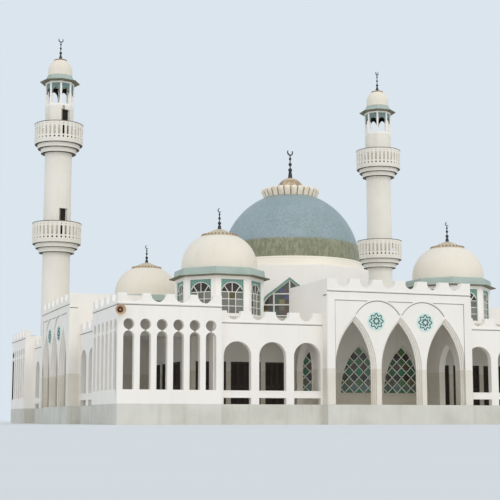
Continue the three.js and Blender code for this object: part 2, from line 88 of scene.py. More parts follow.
class Finish:
    # A material that is being put together round one Principled shader
    def __init__(self, name, roughness=0.8, **constants):
        self.material = bpy.data.materials.new(name)
        self.material.use_nodes = True
        self.tree = self.material.node_tree
        self.shader = self.tree.nodes["Principled BSDF"]
        self.set(Roughness=roughness, **constants)

    def node(self, kind, settings=None, inputs=None, output=0):
        node = self.tree.nodes.new(kind)
        for key, value in (settings or {}).items():
            setattr(node, key, value)
        for key, value in (inputs or {}).items():
            self.feed(node.inputs[key], value)
        return Term(self, node.outputs[output])

    def feed(self, socket, value):
        if isinstance(value, Term):
            self.tree.links.new(value.socket, socket)
        else:
            socket.default_value = rgb(value) if isinstance(value, str) else value

    def set(self, **values):
        for key, value in values.items():
            self.feed(self.shader.inputs[key.replace("_", " ")], value)
        return self

    def place(self, *scale):
        # Object coordinates, scaled for a pattern
        spot = self.node("ShaderNodeTexCoord", output="Object")
        return self.node("ShaderNodeMapping", None, {"Vector": spot, "Scale": scale or (1, 1, 1)})

    def axis(self, vector, name):
        return self.node("ShaderNodeSeparateXYZ", None, {"Vector": vector}, output=name)

    def noise(self, scale, detail=4.0, rough=0.55, stretch=(1, 1, 1)):
        return self.node("ShaderNodeTexNoise", None,
                         {"Vector": self.place(*stretch), "Scale": scale, "Detail": detail, "Roughness": rough})

    def mix(self, factor, a, b):
        return self.node("ShaderNodeMix", {"data_type": "RGBA"}, {0: factor, 6: a, 7: b}, output=2)

    def pick(self, share, palette):
        # 0 to 1 in equal steps, one for each colour of the palette
        steps = self.node("ShaderNodeValToRGB", None, {"Fac": share})
        ramp = steps.socket.node.color_ramp
        ramp.interpolation = "CONSTANT"
        while len(ramp.elements) < len(palette):
            ramp.elements.new(0.5)
        for i, (element, colour) in enumerate(zip(ramp.elements, palette)):
            element.position, element.color = i / len(palette), rgb(colour)
        return steps

    def bump(self, height, strength, distance):
        return self.node("ShaderNodeBump", None, {"Height": height, "Strength": strength, "Distance": distance})


dadoTop = 3.5
tile = {"joint": 0.012, "wide": 0.62, "high": 0.45}


def lightSurface(name, colour, stain, roughness=0.82, amount=0.35, dado=None):
    # Painted render: broad clouds, rain streaks that run down, fine grain in the bump, and a tiled dado if it has
    # a colour
    f = Finish(name, roughness)
    cloud = f.noise(0.45, 5.0).ramp(0.35, 0.75)
    streak = f.noise(2.6, 4.0, stretch=(1.0, 1.0, 0.08)).ramp(0.52, 0.78)
    paint = f.mix(cloud * (amount * 0.5), colour, stain)
    paint = f.mix(streak * (amount * 0.45), paint, stain)
    if dado:
        spot = f.place()
        height = f.axis(spot, "Z")
        low = 1 - height.ramp(dadoTop - 0.02, dadoTop + 0.02)
        paint = f.mix(low * (0.6 + 0.4 * cloud), paint, dado)
        flat = f.node("ShaderNodeCombineXYZ", None, {0: f.axis(spot, "X") + f.axis(spot, "Y"), 1: height})
        joint = f.node("ShaderNodeTexBrick", None, {
            "Vector": flat, "Scale": 1.0, "Mortar Size": tile["joint"], "Brick Width": tile["wide"],
            "Row Height": tile["high"]}, output="Fac")
        paint = f.mix(joint * low * 0.35, paint, stain)
    rough = f.noise(1.7, 3.0) * 0.16 + (roughness - 0.08)
    return f.set(Base_Color=paint, Roughness=rough, Normal=f.bump(f.noise(34.0, 3.0), 0.25, 0.012)).material


def mosaicSurface(name, upper, lower, dark, flecks, band, bandTop):
    # Small tiles: a grey-blue ground flecked with green, a mottled olive band under it, pale joints in the bump
    f = Finish(name, 0.55)
    fleck = f.noise(2.1, 6.0, 0.7)
    speck = f.noise(8.0, 3.0, 0.8)
    ground = f.mix(f.noise(0.32, 3.0).ramp(0.35, 0.7), upper, lower)
    ground = f.mix(fleck.ramp(0.45, 0.75) * 0.35, ground, flecks)
    ground = f.mix(speck.ramp(0.44, 0.66) * 0.45, ground, dark)
    streak = f.noise(4.2, 5.0, 0.75, (1.0, 1.0, 0.34))
    olive = f.mix(streak.ramp(0.36, 0.7), band[0], band[1])
    olive = f.mix(speck.ramp(0.46, 0.66) * 0.5, olive, band[2])
    edge = (f.axis(f.place(), "Z") + (fleck - 0.5) * 0.34).ramp(bandTop - 0.14, bandTop + 0.14)
    cell = f.node("ShaderNodeTexVoronoi", {"feature": "DISTANCE_TO_EDGE"}, {"Vector": f.place(), "Scale": 6.0})
    joint = cell.ramp(0.0, 0.08)
    return f.set(Base_Color=f.mix(edge, olive, ground), Roughness=0.62 - joint * 0.16,
                 Normal=f.bump(joint, 0.2, 0.01)).material


def paintSurface(name, colour, other, roughness=0.6, scale=1.4, amount=0.5, metallic=0.0):
    # Paint over metal, wood or concrete: slight mottling in colour and gloss
    f = Finish(name, roughness, Metallic=metallic)
    mottle = f.noise(scale, 5.0)
    return f.set(
        Base_Color=f.mix(mottle.ramp(0.38, 0.72) * amount, colour, other),
        Roughness=mottle * 0.2 + (roughness - 0.1), Normal=f.bump(f.noise(scale * 14, 2.0), 0.15, 0.006),
    ).material


def glassSurface(name, palette, wide, high, low, diamonds=False):
    # Panes of stained glass: a wall's own x and z fall into cells, and each cell picks one colour of the palette.
    # Diamonds take it by their row, some of them two rows on; the middle ones lean to the first colour, the outer
    # ones to grey
    f = Finish(name, 0.16, Coat_Weight=0.3)
    drawn = f.node("ShaderNodeAttribute", {"attribute_name": "drawn"}, output="Vector")
    x = f.axis(drawn, "X") / wide
    z = (f.axis(drawn, "Z") - low) / high
    if diamonds:
        rising, falling = (x + z + 0.5).math("FLOOR"), (x - z + 0.5).math("FLOOR")
        across, row = (rising + falling).math("ABSOLUTE"), rising - falling
    else:
        across, row = x.math("FLOOR"), z.math("FLOOR")
    cell = f.node("ShaderNodeCombineXYZ", None, {0: across, 1: row})
    share = f.node("ShaderNodeTexWhiteNoise", {"noise_dimensions": "3D"}, {"Vector": cell}, output="Value")
    if diamonds:
        share = ((row + share.math("GREATER_THAN", 0.72) * 2 + 0.5) / len(palette)).math("FRACT")
    tone = f.pick(share, palette)
    if diamonds:
        tone = f.mix(across.math("LESS_THAN", 0.5) * 0.6, tone, palette[0])
        tone = f.mix(across.math("GREATER_THAN", 1.5) * 0.5, tone, "58665c")
    haze = f.noise(3.0, 4.0)
    return f.set(
        Base_Color=f.mix(haze.ramp(0.4, 0.8) * 0.2, tone, "787c76"),
        Roughness=haze * 0.25 + 0.06, Normal=f.bump(haze, 0.08, 0.01),
    ).material


def screenSurface(name, palette):
    # Drum panes: each pane's own tint picks its colour, and fine wire gauze lightens it in places
    f = Finish(name, 0.3)
    tone = f.pick(f.node("ShaderNodeAttribute", {"attribute_name": "tint"}, output="Fac"), palette)
    weave = f.noise(22.0, 2.0)
    return f.set(
        Base_Color=f.mix(weave.ramp(0.4, 0.65) * 0.12, tone, "969288"),
        Roughness=weave * 0.3 + 0.2, Normal=f.bump(weave, 0.2, 0.004),
    ).material


# the lattice of the hall's windows, whose panes the glass is coloured by
diamond = {"wide": 0.72, "high": 0.71, "phase": 2.135}
# name, paint, stain, roughness, amount of stain, dado
renders = {
    "white": ("whiteRender", "fbf4ec", "e2dad0"),
    "portalWhite": ("portalRender", "f9f2e9", "e1d9ce", 0.82, 0.35, "e4dbcb"),
    "upper": ("upperRender", "fff9f2", "eae2d6"),
    "ring": ("ringRender", "faf1e2", "e8ddcb", 0.75, 0.4),
    "cream": ("creamDome", "f3e8d8", "ddcfba", 0.7, 0.45),
    "shaft": ("minaretRender", "f4ece0", "d6ccbc", 0.78, 0.4),
    "plaster": ("hallPlaster", "f2eee4", "d6d0c4", 0.88, 0.5, "ded4c0"),
    "roof": ("roofScreed", "cecac0", "a09a8e", 0.9, 0.9),
    "plinth": ("plinthRender", "dedad0", "b0aa9c", 0.9, 0.8),
}
# name, paint, second tone, roughness, scale of the mottling, its amount, metallic
paints = {
    # painted shade: the grey lines under ledges, under blind arcs and down the portal panel's edge
    "paintedShade": ("paintedLedgeShade", "88867e", "68665e", 0.9, 0.9, 0.8),
    "celadon": ("celadonTile", "b4c0b6", "a0aca2", 0.6, 1.1),
    "rim": ("railRim", "787468", "58544a", 0.8, 2.0),
    "jade": ("windowJade", "80a89e", "6a9088", 0.6, 2.4),
    # olive paint, darkened as painted shade, for the undersides of the eaves
    "olive": ("soffitOliveAndShade", "78725c", "5e5a4a", 0.7, 1.6),
    # olive darkened further as painted shade, for the undersides of the balcony steps
    "soffit": ("balconySoffitShade", "524e3c", "3c392d", 0.8, 1.6),
    "slate": ("lanternJade", "78908a", "667e7a", 0.6, 2.4),
    "tan": ("tanTrim", "d0c2a8", "b6a68a", 0.7, 2.2, 0.6),
    "peach": ("crownPeach", "d4bca0", "8c7054", 0.7, 1.5, 0.9),
    # painted shade: the tan in the creases between the crown's petals
    "gap": ("petalCreaseShade", "bca282", "a08668", 0.8, 3.0),
    "crown": ("crownCream", "fcf0de", "e4ceb2", 0.7, 2.2, 0.7),
    "rust": ("trimRecess", "b08c6a", "927052", 0.8, 3.0),
    "joinery": ("whiteJoinery", "eeece4", "ceccc0", 0.55, 2.0),
    "lattice": ("latticeBars", "fffef4", "ececde", 0.55, 2.0),
    "door": ("louvreDoor", "40362e", "28221e", 0.5, 5.0),
    "iron": ("finialIron", "3e4240", "282a2a", 0.45, 6.0, 0.6, 0.5),
    # painted shade: near black in sunk doors, behind rail holes and lantern spandrels, and on the lantern's
    # ceiling
    "shadow": ("paintedShadow", "222018", "161410", 0.9, 2.0),
    "disc": ("medallionGround", "daeee7", "cce5dd", 0.5, 2.6),
    "star": ("medallionStar", "3e605a", "54746c", 0.5, 4.0),
    "horn": ("hornBeige", "d6ba9c", "bc9c7a", 0.45, 3.0, 0.5),
    "hornDark": ("hornThroat", "78543a", "543a2a", 0.5, 5.0),
}
finish = {
    **{key: lightSurface(*row) for key, row in renders.items()},
    **{key: paintSurface(*row) for key, row in paints.items()},
    "mosaic": mosaicSurface(
        "domeMosaic", "a0adb2", "94a4a5", "62787e", "768c8e",
        ("7c7c60", "a8a686", "68746a"), 13.95),
    "diamondGlass": glassSurface("diamondGlass", [
        "227c4c", "647a74", "6c642c", "30201c", "227e52", "524226",
    ], diamond["wide"], diamond["high"], diamond["phase"], diamonds=True),
    "colourGlass": glassSurface("colourGlass", [
        "807036", "343c6c", "503c32", "222a20", "685c3c",
        "244834", "3e3228", "1e3228",
    ], 0.41, 0.41, 7.96),
    "gauze": screenSurface("gauzePanes", [
        "7a7770", "706e66", "1e1a18", "807a72", "3c2822",
        "1e422c", "86827c", "584c24"]),
}
print("finishes:", len(finish))


def columns(*parts):
    # Arrays and numbers side by side, along a new last axis
    return np.stack(np.broadcast_arrays(*parts), -1)


def ellipse(t, wide, high, x=0.0, z=0.0):
    # x + a cos t, z + b sin t
    return columns(x + wide * np.cos(t), z + high * np.sin(t))


class Shell:
    # Part of a piece, as whole arrays: points; the corners of all faces in one row; each face's corner count,
    # finish and tint; and drawn, where each point stood in the frame of its own wall
    def __init__(self, points, corners, counts, finish=0, tint=0.0, drawn=None):
        self.points = np.asarray(points, float).reshape(-1, 3)
        self.corners = np.asarray(corners, int).ravel()
        self.counts = np.asarray(counts, int).ravel()
        self.finish = np.zeros(len(self.counts), int) + finish
        self.tint = np.zeros(len(self.counts)) + tint
        self.drawn = self.points.copy() if drawn is None else drawn

    def like(self, **changes):
        # The same shell but for some of its arrays
        return Shell(**{**vars(self), **changes})

    def moved(self, turn=0.0, shift=(0, 0, 0), flip=(1, 1, 1)):
        # Flipped along the axes, shifted, then turned about Z by so many degrees
        a = math.radians(turn)
        spin = np.array([[math.cos(a), -math.sin(a), 0], [math.sin(a), math.cos(a), 0], [0, 0, 1]])
        return self.like(points=(self.points * flip + shift) @ spin.T)

    def centres(self):
        # The mean of each face's corners
        starts = np.cumsum(self.counts) - self.counts
        return np.add.reduceat(self.points[self.corners], starts) / self.counts[:, None]


def joined(shells):
    # Several shells as one: each one's corners are counted on from the points of those before it
    offsets = np.cumsum([0] + [len(s.points) for s in shells])
    rows = {key: np.concatenate([getattr(s, key) for s in shells])
            for key in ("points", "counts", "finish", "tint", "drawn")}
    return Shell(corners=np.concatenate([s.corners + o for s, o in zip(shells, offsets)]), **rows)


def write(items, key, values, kind=np.float32):
    # A whole array into Blender's own items
    items.foreach_set(key, values.astype(kind).ravel())


def read(items, key, width=1, kind=np.float32):
    # A whole array out of Blender's own items, in rows of the width
    values = np.zeros(len(items) * width, kind)
    items.foreach_get(key, values)
    return values.reshape(-1, width) if width > 1 else values


def meshOf(name, shell):
    # A mesh with the shell's points and faces, and drawn and tint as attributes
    mesh = bpy.data.meshes.new(name)
    mesh.vertices.add(len(shell.points))
    mesh.loops.add(len(shell.corners))
    mesh.polygons.add(len(shell.counts))
    write(mesh.vertices, "co", shell.points)
    write(mesh.loops, "vertex_index", shell.corners, np.int32)
    write(mesh.polygons, "loop_start", np.cumsum(shell.counts) - shell.counts, np.int32)
    write(mesh.polygons, "material_index", shell.finish, np.int32)
    mesh.update(calc_edges=True)
    write(mesh.attributes.new("drawn", "FLOAT_VECTOR", "POINT").data, "vector", shell.drawn)
    write(mesh.attributes.new("tint", "FLOAT", "FACE").data, "value", shell.tint)
    return mesh


def facedOut(mesh, reach=0.0):
    # Turns every face outwards; with a reach it first merges the points that meet and drops what that flattens
    form = bmesh.new()
    form.from_mesh(mesh)
    if reach:
        bmesh.ops.remove_doubles(form, verts=form.verts, dist=reach)
        bmesh.ops.dissolve_degenerate(form, edges=form.edges, dist=reach)
    bmesh.ops.recalc_face_normals(form, faces=form.faces)
    form.to_mesh(mesh)
    form.free()
    return mesh


def cleaned(shell, reach=1e-5):
    # The shell again, with points that meet merged and its faces turned outwards
    mesh = facedOut(meshOf("draft", shell), reach)
    result = Shell(
        read(mesh.vertices, "co", 3), read(mesh.loops, "vertex_index", kind=np.int32),
        read(mesh.polygons, "loop_total", kind=np.int32), read(mesh.polygons, "material_index", kind=np.int32),
        read(mesh.attributes["tint"].data, "value"), read(mesh.attributes["drawn"].data, "vector", 3),
    )
    bpy.data.meshes.remove(mesh)
    return result


def sheet(grid, closeRows=False, closeCols=False, caps=False, finish=0):
    # Quads between neighbours on a grid of rows by columns of points; caps shut the first and the last column
    rows, cols = grid.shape[:2]
    i = np.arange(rows if closeRows else rows - 1)[:, None]
    j = np.arange(cols if closeCols else cols - 1)[None, :]
    i2, j2 = (i + 1) % rows, (j + 1) % cols
    faces = np.stack([i * cols + j, i * cols + j2, i2 * cols + j2, i2 * cols + j], -1).reshape(-1, 4)
    marks = (np.zeros(i.shape[:1] + j.shape[1:], int) + np.reshape(finish, (-1, 1))).ravel()
    corners, counts = faces.ravel(), np.full(len(faces), 4)
    if caps:
        ends = np.stack([np.arange(rows) * cols, np.arange(rows) * cols + cols - 1])
        corners, counts = np.concatenate([corners, ends.ravel()]), np.append(counts, [rows, rows])
        marks = np.append(marks, [marks[0], marks[0]])
    return cleaned(Shell(grid.reshape(-1, 3), corners, counts, marks))


def turned(radius, angles, height):
    # x = r cos a, y = r sin a
    return columns(radius * np.cos(angles), radius * np.sin(angles), height)


def lathe(profile, segments, start=0.0, closed=False, finish=0, shape=None):
    # Radius and height carried round the axis; shape changes both by the angle
    profile = np.asarray(profile, float)
    angles = np.radians(start) + np.arange(segments) * fullTurn / segments
    radius, height = (profile[:, k, None] * np.ones(segments) for k in (0, 1))
    if shape is not None:
        radius, height = shape(radius, angles[None, :], height)
    return sheet(turned(radius, angles, height), closeRows=closed, closeCols=True, finish=finish)


def boxes(points, finish):
    # Eight points a box: four round one end, then the same four round the other
    faces = np.array([[0, 3, 2, 1], [4, 5, 6, 7], [0, 1, 5, 4], [1, 2, 6, 5], [2, 3, 7, 6], [3, 0, 4, 7]])
    corners = faces + 8 * np.arange(len(points))[:, None, None]
    return Shell(points, corners, np.full(6 * len(points), 4), finish)


def table(rows):
    # One row or several, always as rows
    return np.atleast_2d(np.asarray(rows, float))


def crates(low, high, finish=0, lean=0.0):
    # Boxes from one or more lowest and highest corners; lean shifts each top along Y
    low, high = table(low), table(high)
    pick = np.array([[0, 0, 0], [1, 0, 0], [1, 1, 0], [0, 1, 0], [0, 0, 1], [1, 0, 1], [1, 1, 1], [0, 1, 1]])
    points = low[:, None] + pick * (high - low)[:, None]
    points[:, 4:, 1] += lean
    return boxes(points, finish)


def bars(starts, ends, width, y0, y1, finish=0):
    # Straight bars in a wall's plane between rows of x, z ends: half a width to either side, from y0 to y1
    starts, ends = table(starts), table(ends)
    way = (ends - starts) / np.linalg.norm(ends - starts, axis=1, keepdims=True)
    side = columns(-way[:, 1], way[:, 0]) * width / 2
    flat = np.stack([starts - side, ends - side, ends + side, starts + side], 1)
    return boxes(np.concatenate([columns(flat[..., 0], y, flat[..., 1]) for y in (y0, y1)], 1), finish)


def slab(outline, y0, y1, finish=0, tint=0.0):
    # A flat outline in x and z with no hole, drawn out from y0 to y1
    outline = np.asarray(outline, float)
    n = len(outline)
    i = np.arange(n)
    sides = columns(i, i + n, (i + 1) % n + n, (i + 1) % n)
    points = np.stack([columns(outline[:, 0], y, outline[:, 1]) for y in (y0, y1)])
    corners = np.concatenate([i, i[::-1] + n, sides.ravel()])
    return cleaned(Shell(points, corners, [n, n, *np.full(n, 4)], finish)).like(tint=tint)


def cutWall(outline, holes, y0, y1, finish=0):
    # A flat outline in x and z, less its holes, drawn out from y0 to y1
    curve = bpy.data.curves.new("cut", "CURVE")
    curve.dimensions, curve.fill_mode, curve.extrude = "2D", "BOTH", (y1 - y0) / 2
    for line in [outline, *holes]:
        spline = curve.splines.new("POLY")
        spline.points.add(len(line) - 1)
        spots = np.ones((len(line), 4))
        spots[:, :2], spots[:, 2] = line, 0
        write(spline.points, "co", spots)
        spline.use_cyclic_u = True
    drawn = bpy.data.objects.new("cut", curve)
    scene.collection.objects.link(drawn)
    mesh = bpy.data.meshes.new_from_object(drawn.evaluated_get(bpy.context.evaluated_depsgraph_get()))
    bpy.data.objects.remove(drawn)
    bpy.data.curves.remove(curve)
    x, z, depth = read(mesh.vertices, "co", 3).T
    shell = Shell(columns(x, (y0 + y1) / 2 - depth, z), read(mesh.loops, "vertex_index", kind=np.int32),
                  read(mesh.polygons, "loop_total", kind=np.int32), finish)
    bpy.data.meshes.remove(mesh)
    return cleaned(shell, 1e-4)


def offsetLine(line, inset):
    # A line moved to its left by the same distance, mitred: at a corner, the sum of both normals over 1 plus their
    # product
    line = np.asarray(line, float)
    way = np.diff(line, axis=0)
    way /= np.linalg.norm(way, axis=1, keepdims=True)
    normal = columns(-way[:, 1], way[:, 0])
    before, after = np.vstack([normal[:1], normal]), np.vstack([normal, normal[-1:]])
    return line + inset * (before + after) / (1 + np.sum(before * after, 1))[:, None]


def archBand(line, profile, finish=0):
    # A closed profile of insets and depths carried along an arch
    lines = [(offsetLine(line, inset), depth) for inset, depth in profile]
    grid = np.stack([columns(flat[:, 0], depth, flat[:, 1]) for flat, depth in lines])
    return sheet(grid, closeRows=True, caps=True, finish=finish)


def moulding(x0, x1, profile, finish=0):
    # A closed profile of depths and heights carried along a wall from x0 to x1
    grid = np.stack([columns(x, *np.asarray(profile, float).T) for x in (x0, x1)], 1)
    return sheet(grid, closeRows=True, caps=True, finish=finish)


def pointedLine(x, half, foot, spring, apex, steps=14):
    # Up the right leg, along two arcs that meet in a point, and down the left leg: an arc starts upright, so its
    # radius is (half half + rise rise) / (2 half)
    rise = apex - spring
    radius = (half * half + rise * rise) / (2 * half)
    right = ellipse(np.linspace(0, math.asin(rise / radius), steps), radius, radius, half - radius, spring)
    left = (right * (-1, 1))[::-1][1:]
    return np.vstack([[half, foot], right, left, [-half, foot]]) + (x, 0)


def roundLine(x, half, foot, spring, rise, steps=25):
    # Up the right leg, over half an ellipse and down the left leg
    over = ellipse(np.linspace(0, math.pi, steps), half, rise, 0.0, spring)
    return np.vstack([[half, foot], over, [-half, foot]]) + (x, 0)


def arcLine(x, z, radius, start, end, steps):
    # x + r cos a, z + r sin a, from one angle in degrees to the other
    return ellipse(np.radians(np.linspace(start, end, steps)), radius, radius, x, z)


def oblong(half, low, high):
    # A rectangle's corners, from the lower left round
    return [[-half, low], [half, low], [half, high], [-half, high]]


def parapetLine(x0, x1, size, first=None):
    # The top of a wall from x1 back to x0, or to first: flat merlons with round dips between them
    middle, length = (x0 + x1) / 2, x1 - x0
    centres = middle + length * size["dipShare"] * (np.arange(size["dips"])[::-1] - (size["dips"] - 1) / 2)
    top, radius = size["top"], size["dipRadius"]
    dips = [np.vstack([[c + radius, top], arcLine(c, size["dip"] + radius, radius, 0, -180, 13),
                       [c - radius, top]]) for c in centres]
    return np.vstack([[x1, top], *dips, [x0 if first is None else first, top]])


def piece(name, shell, finishes, node, sharp=34):
    # Makes one object of the shell, which rides on the building and stands for its node
    mesh = facedOut(meshOf(name, shell))
    for key in finishes:
        mesh.materials.append(finish[key])
    mesh.shade_smooth()
    mesh.set_sharp_from_angle(angle=math.radians(sharp))
    thing = bpy.data.objects.new(name, mesh)
    scene.collection.objects.link(thing)
    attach(thing, "root")
    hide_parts(node)


# shared sizes in metres; each side has its turn, its reach from the middle, where its pavilions begin, the depth
# of its verandah and half its portal's width
body = {"halfWidth": 18.63, "halfDepth": 19.715, "floor": 1.2403, "outerWall": 0.4, "roof": 7.15,
        "roofThickness": 0.25, "gap": 0.0003}
alongX = {"reach": 19.715, "end": 12.148, "inset": 6.315, "half": 5.134}
alongY = {"reach": 18.63, "end": 12.907, "inset": 5.989, "half": 5.325}
sides = {"front": (0, alongX), "right": (90, alongY), "back": (180, alongX), "left": (270, alongY)}
mirror = (-1, 1, 1)


def ledge(x0, x1, face, z, proud=0.06, height=0.11, paintedShade=0.06):
    # A string course with a rounded nose, over a thin strip of painted shade
    back, front = face + 0.01, face - proud
    profile = [(back, z - 0.02), (face - proud * 0.6, z), (front, z + height * 0.3), (front, z + height * 0.7),
               (face - proud * 0.5, z + height), (back, z + height + 0.02)]
    return joined([moulding(x0, x1, profile), crates([x0, face - 0.005, z - paintedShade], [x1, back, z], finish=1)])


portal = {"top": 9.198, "dips": 6, "dip": 8.668, "dipRadius": 0.46, "dipShare": 0.156, "plainTop": 9.16,
          "pitch": 3.227, "halfArch": 1.46, "spring": 3.534, "apex": 6.84, "wall": 0.45, "roofTop": 8.444,
          "cornice": 8.4, "panelLine": 7.83, "panelHalf": 4.62, "panelBreak": 0.62, "leftArch": (2.55, 5.07),
          "rightArch": (1.5, 3.7), "sideSpring": 3.534, "sideApex": 5.35, "blindTop": 7.9, "blindFoot": 6.95,
          "medallion": 6.54, "medallionRadius": 0.6, "medallionSpot": 1.75, "strip": 0.57, "stripTop": 8.15}
rosette = {"sides": 48, "petals": 8, "lines": ((0.41, 0.07, 0.065), (0.19, 0.06, 0.055))}


def portalFront(half):
    # The wall round three pointed arches with stepped linings, then its trim in relief
    p, foot = portal, body["floor"]
    lines = [pointedLine(x, p["halfArch"], foot, p["spring"], p["apex"]) for x in (-p["pitch"], 0, p["pitch"])]
    legs = [line[::-1] for line in lines]
    outline = np.vstack([[-half, foot], *legs, [half, foot], parapetLine(-half, half, p)])
    back = p["wall"] - 0.001
    steps = [(-0.02, 0.13), (0.075, 0.13), (0.075, 0.24), (0.15, 0.24), (0.15, 0.35), (0.223, 0.35),
             (0.223, back), (-0.02, back)]
    roll = [(-0.055, 0.01), (-0.05, -0.045), (0.0, -0.075), (0.05, -0.045), (0.055, 0.01)]
    # the band under each roll is painted shade
    under = [(0.05, 0.01), (0.05, -0.006), (0.1, -0.006), (0.1, 0.01)]
    shells = [cutWall(outline, [], 0, p["wall"]), *[archBand(line, steps) for line in lines],
              ledge(-half, half, 0, p["cornice"], 0.06, 0.09)]
    # blind arcs from point to point over the medallions, each a circle through its feet and its top: a roll over a
    # band of painted shade
    halfBlind, rise = p["pitch"] / 2, p["blindTop"] - p["blindFoot"]
    radius = (halfBlind ** 2 + rise ** 2) / (2 * rise)
    spread = math.degrees(math.asin(halfBlind / radius)) - 2
    for x in (-halfBlind, halfBlind):
        arc = arcLine(x, p["blindTop"] - radius, radius, 90 - spread, 90 + spread, 25)
        shells += [archBand(arc, roll), archBand(arc, under, finish=1)]
    stop, line = p["panelBreak"], p["panelLine"]
    for x0, x1 in ((-p["panelHalf"], -halfBlind - stop), (stop - halfBlind, halfBlind - stop),
                   (halfBlind + stop, p["panelHalf"])):
        shells.append(ledge(x0, x1, 0, line, 0.06, 0.05, 0.045))
    # the panel's edge with a thin line of painted shade down it, and a strip on the side wall with its coping
    edge, out, z, deep = half - 0.01, half + 0.035, p["stripTop"], p["strip"]
    margin = joined([
        crates([p["panelHalf"], -0.025, foot], [half - 0.002, 0.01, line]),
        crates([p["panelHalf"] - 0.03, -0.005, p["spring"]], [p["panelHalf"], 0.01, line], finish=1),
        crates([[edge, 0, foot], [edge, -0.02, z]], [[out, deep, z], [out + 0.04, deep + 0.04, z + 0.08]]),
    ])
    # the shade under the coping
    under = crates([[edge, 0.02, z - 0.05], [-out, 0.02, z - 0.05]],
                   [[out + 0.002, deep + 0.004, z], [0.002 - edge, deep + 0.004, z]], finish=1)
    return joined([*shells, margin, margin.moved(flip=mirror), under,
                   medallion(-p["medallionSpot"]), medallion(p["medallionSpot"])])


def medallion(x):
    # A shallow pale disc with a plain rosette: its lines are r = a + b cos 8t, carried round as thin raised bands
    z, radius, n = portal["medallion"], portal["medallionRadius"], rosette["sides"]
    rows = np.array([(0.0, 0.01), (radius, 0.01), (radius, -0.028), (radius - 0.03, -0.045),
                     (radius - 0.07, -0.03), (0.0, -0.034)])
    t = np.arange(n) * fullTurn / n
    reach, depth = rows[:, 0, None], rows[:, 1, None]
    ground = columns(x + reach * np.cos(t), depth, z + reach * np.sin(t))
    t = np.arange(2 * n + 1) * fullTurn / (2 * n)
    shells = [sheet(ground, closeCols=True, finish=2)]
    for base, wave, width in rosette["lines"]:
        reach, side = base + wave * np.cos(rosette["petals"] * t), width / 2
        profile = [(-side, -0.02), (-side, -0.046), (side, -0.046), (side, -0.02)]
        shells.append(archBand(ellipse(t, reach, reach, x, z), profile, finish=3))
    return joined(shells)


def portalShell(half, inset):
    # Side walls with one pointed opening each, the wall over the hall's roof, and the roof
    foot, near, far = body["floor"], portal["wall"] + body["gap"], inset - body["gap"]
    top, roofTop, inner = portal["plainTop"], portal["roofTop"], half - body["outerWall"]

    def standing(start, end):
        opening = pointedLine((start + end) / 2, (end - start) / 2, foot, portal["sideSpring"],
                              portal["sideApex"])
        outline = np.vstack([[near, foot], opening[::-1], [far, foot], [far, top], [near, top]])
        frameProfile = [(-0.01, -0.03), (-0.01, 0.02), (-0.09, 0.02), (-0.09, -0.03)]
        wall = joined([cutWall(outline, [], 0, body["outerWall"]), archBand(opening, frameProfile)])
        return wall.moved(turn=90).moved(shift=(half, 0, 0))
    return joined([
        standing(*portal["rightArch"]), standing(*portal["leftArch"]).moved(flip=mirror),
        crates([[-inner, far - 0.4, body["roof"] - 0.25], [-inner, near, roofTop - 0.25]],
               [[inner, far, top], [inner, far - 0.4, roofTop]]),
    ])


wing = {"recess": 0.837, "ledge": 6.259, "top": 6.994, "dips": 4, "dip": 6.454, "dipRadius": 0.46,
        "dipShare": 0.23, "halfArch": 0.9, "spring": 4.215, "pitchShare": 0.3322, "shiftShare": 0.0194,
        "railBottom": 1.637, "railTop": 2.074, "roofThickness": 0.3}


def arcade(start, end, inset):
    # Three round arches over a rail with gaps under it, and the flat roof behind the ledge
    foot, recess, wall, half = body["floor"], wing["recess"], body["outerWall"], wing["halfArch"]
    shares = np.array([-1, 0, 1]) * wing["pitchShare"] - wing["shiftShare"]
    centres = (start + end) / 2 + (end - start) * shares
    # the gap under the rail, from its left foot over to its right one
    slot = np.array(oblong(half, foot, wing["railBottom"]))[[0, 3, 2, 1]]
    outline = np.vstack([[start, foot], *[slot + (x, 0) for x in centres], [end, foot],
                         parapetLine(start, end, wing)])
    arches = [roundLine(x, half, wing["railTop"], wing["spring"], half) for x in centres]
    front, back, low, high = recess - 0.02, recess + 0.42, wing["railTop"] - 0.07, wing["railTop"] + 0.012
    rail = [(front, low), (front, high), (back, high), (back, low)]
    roof = wing["ledge"]
    return joined([
        cutWall(outline, arches, recess, recess + wall),
        ledge(start, end, recess, roof),
        crates([start, recess + wall, roof - wing["roofThickness"]], [end, inset - body["gap"], roof]),
        *[moulding(x - half, x + half, rail) for x in centres],
    ])


corner = {"width": 6.482, "depth": 6.808, "top": 7.81, "dips": 4, "dip": 7.3, "dipRadius": 0.5,
          "dipShare": 0.2275, "slots": 6, "margin": 0.34, "halfSlot": 0.335, "slotSill": 2.074,
          "slotSpring": 5.217, "hole": 5.952, "halfNeck": 0.06, "ledge": 7.13, "beam": 5.7}


def keyhole(x):
    # A tall slot with a round head that opens through a neck into a round hole
    half = corner["halfSlot"]
    bite = math.degrees(math.asin(corner["halfNeck"] / half))
    return np.vstack([
        [x - half, corner["slotSill"]], [x + half, corner["slotSill"]],
        arcLine(x, corner["slotSpring"], half, 0, 90 - bite, 8),
        arcLine(x, corner["hole"], half, -90 + bite, 270 - bite, 29),
        arcLine(x, corner["slotSpring"], half, 90 + bite, 180, 8),
    ])


def screen(length, first, ledgeStart):
    # A wall with six keyholes in equal steps under a parapet with round dips, and its ledge
    foot, edge = body["floor"], corner["margin"] + corner["halfSlot"]
    pitch = (length - 2 * edge) / (corner["slots"] - 1)
    holes = [keyhole(edge + pitch * i) for i in range(corner["slots"])]
    outline = np.vstack([[first, foot], [length, foot], parapetLine(0, length, corner, first)])
    return joined([cutWall(outline, holes, 0, body["outerWall"]), ledge(ledgeStart, length, 0, corner["ledge"])])


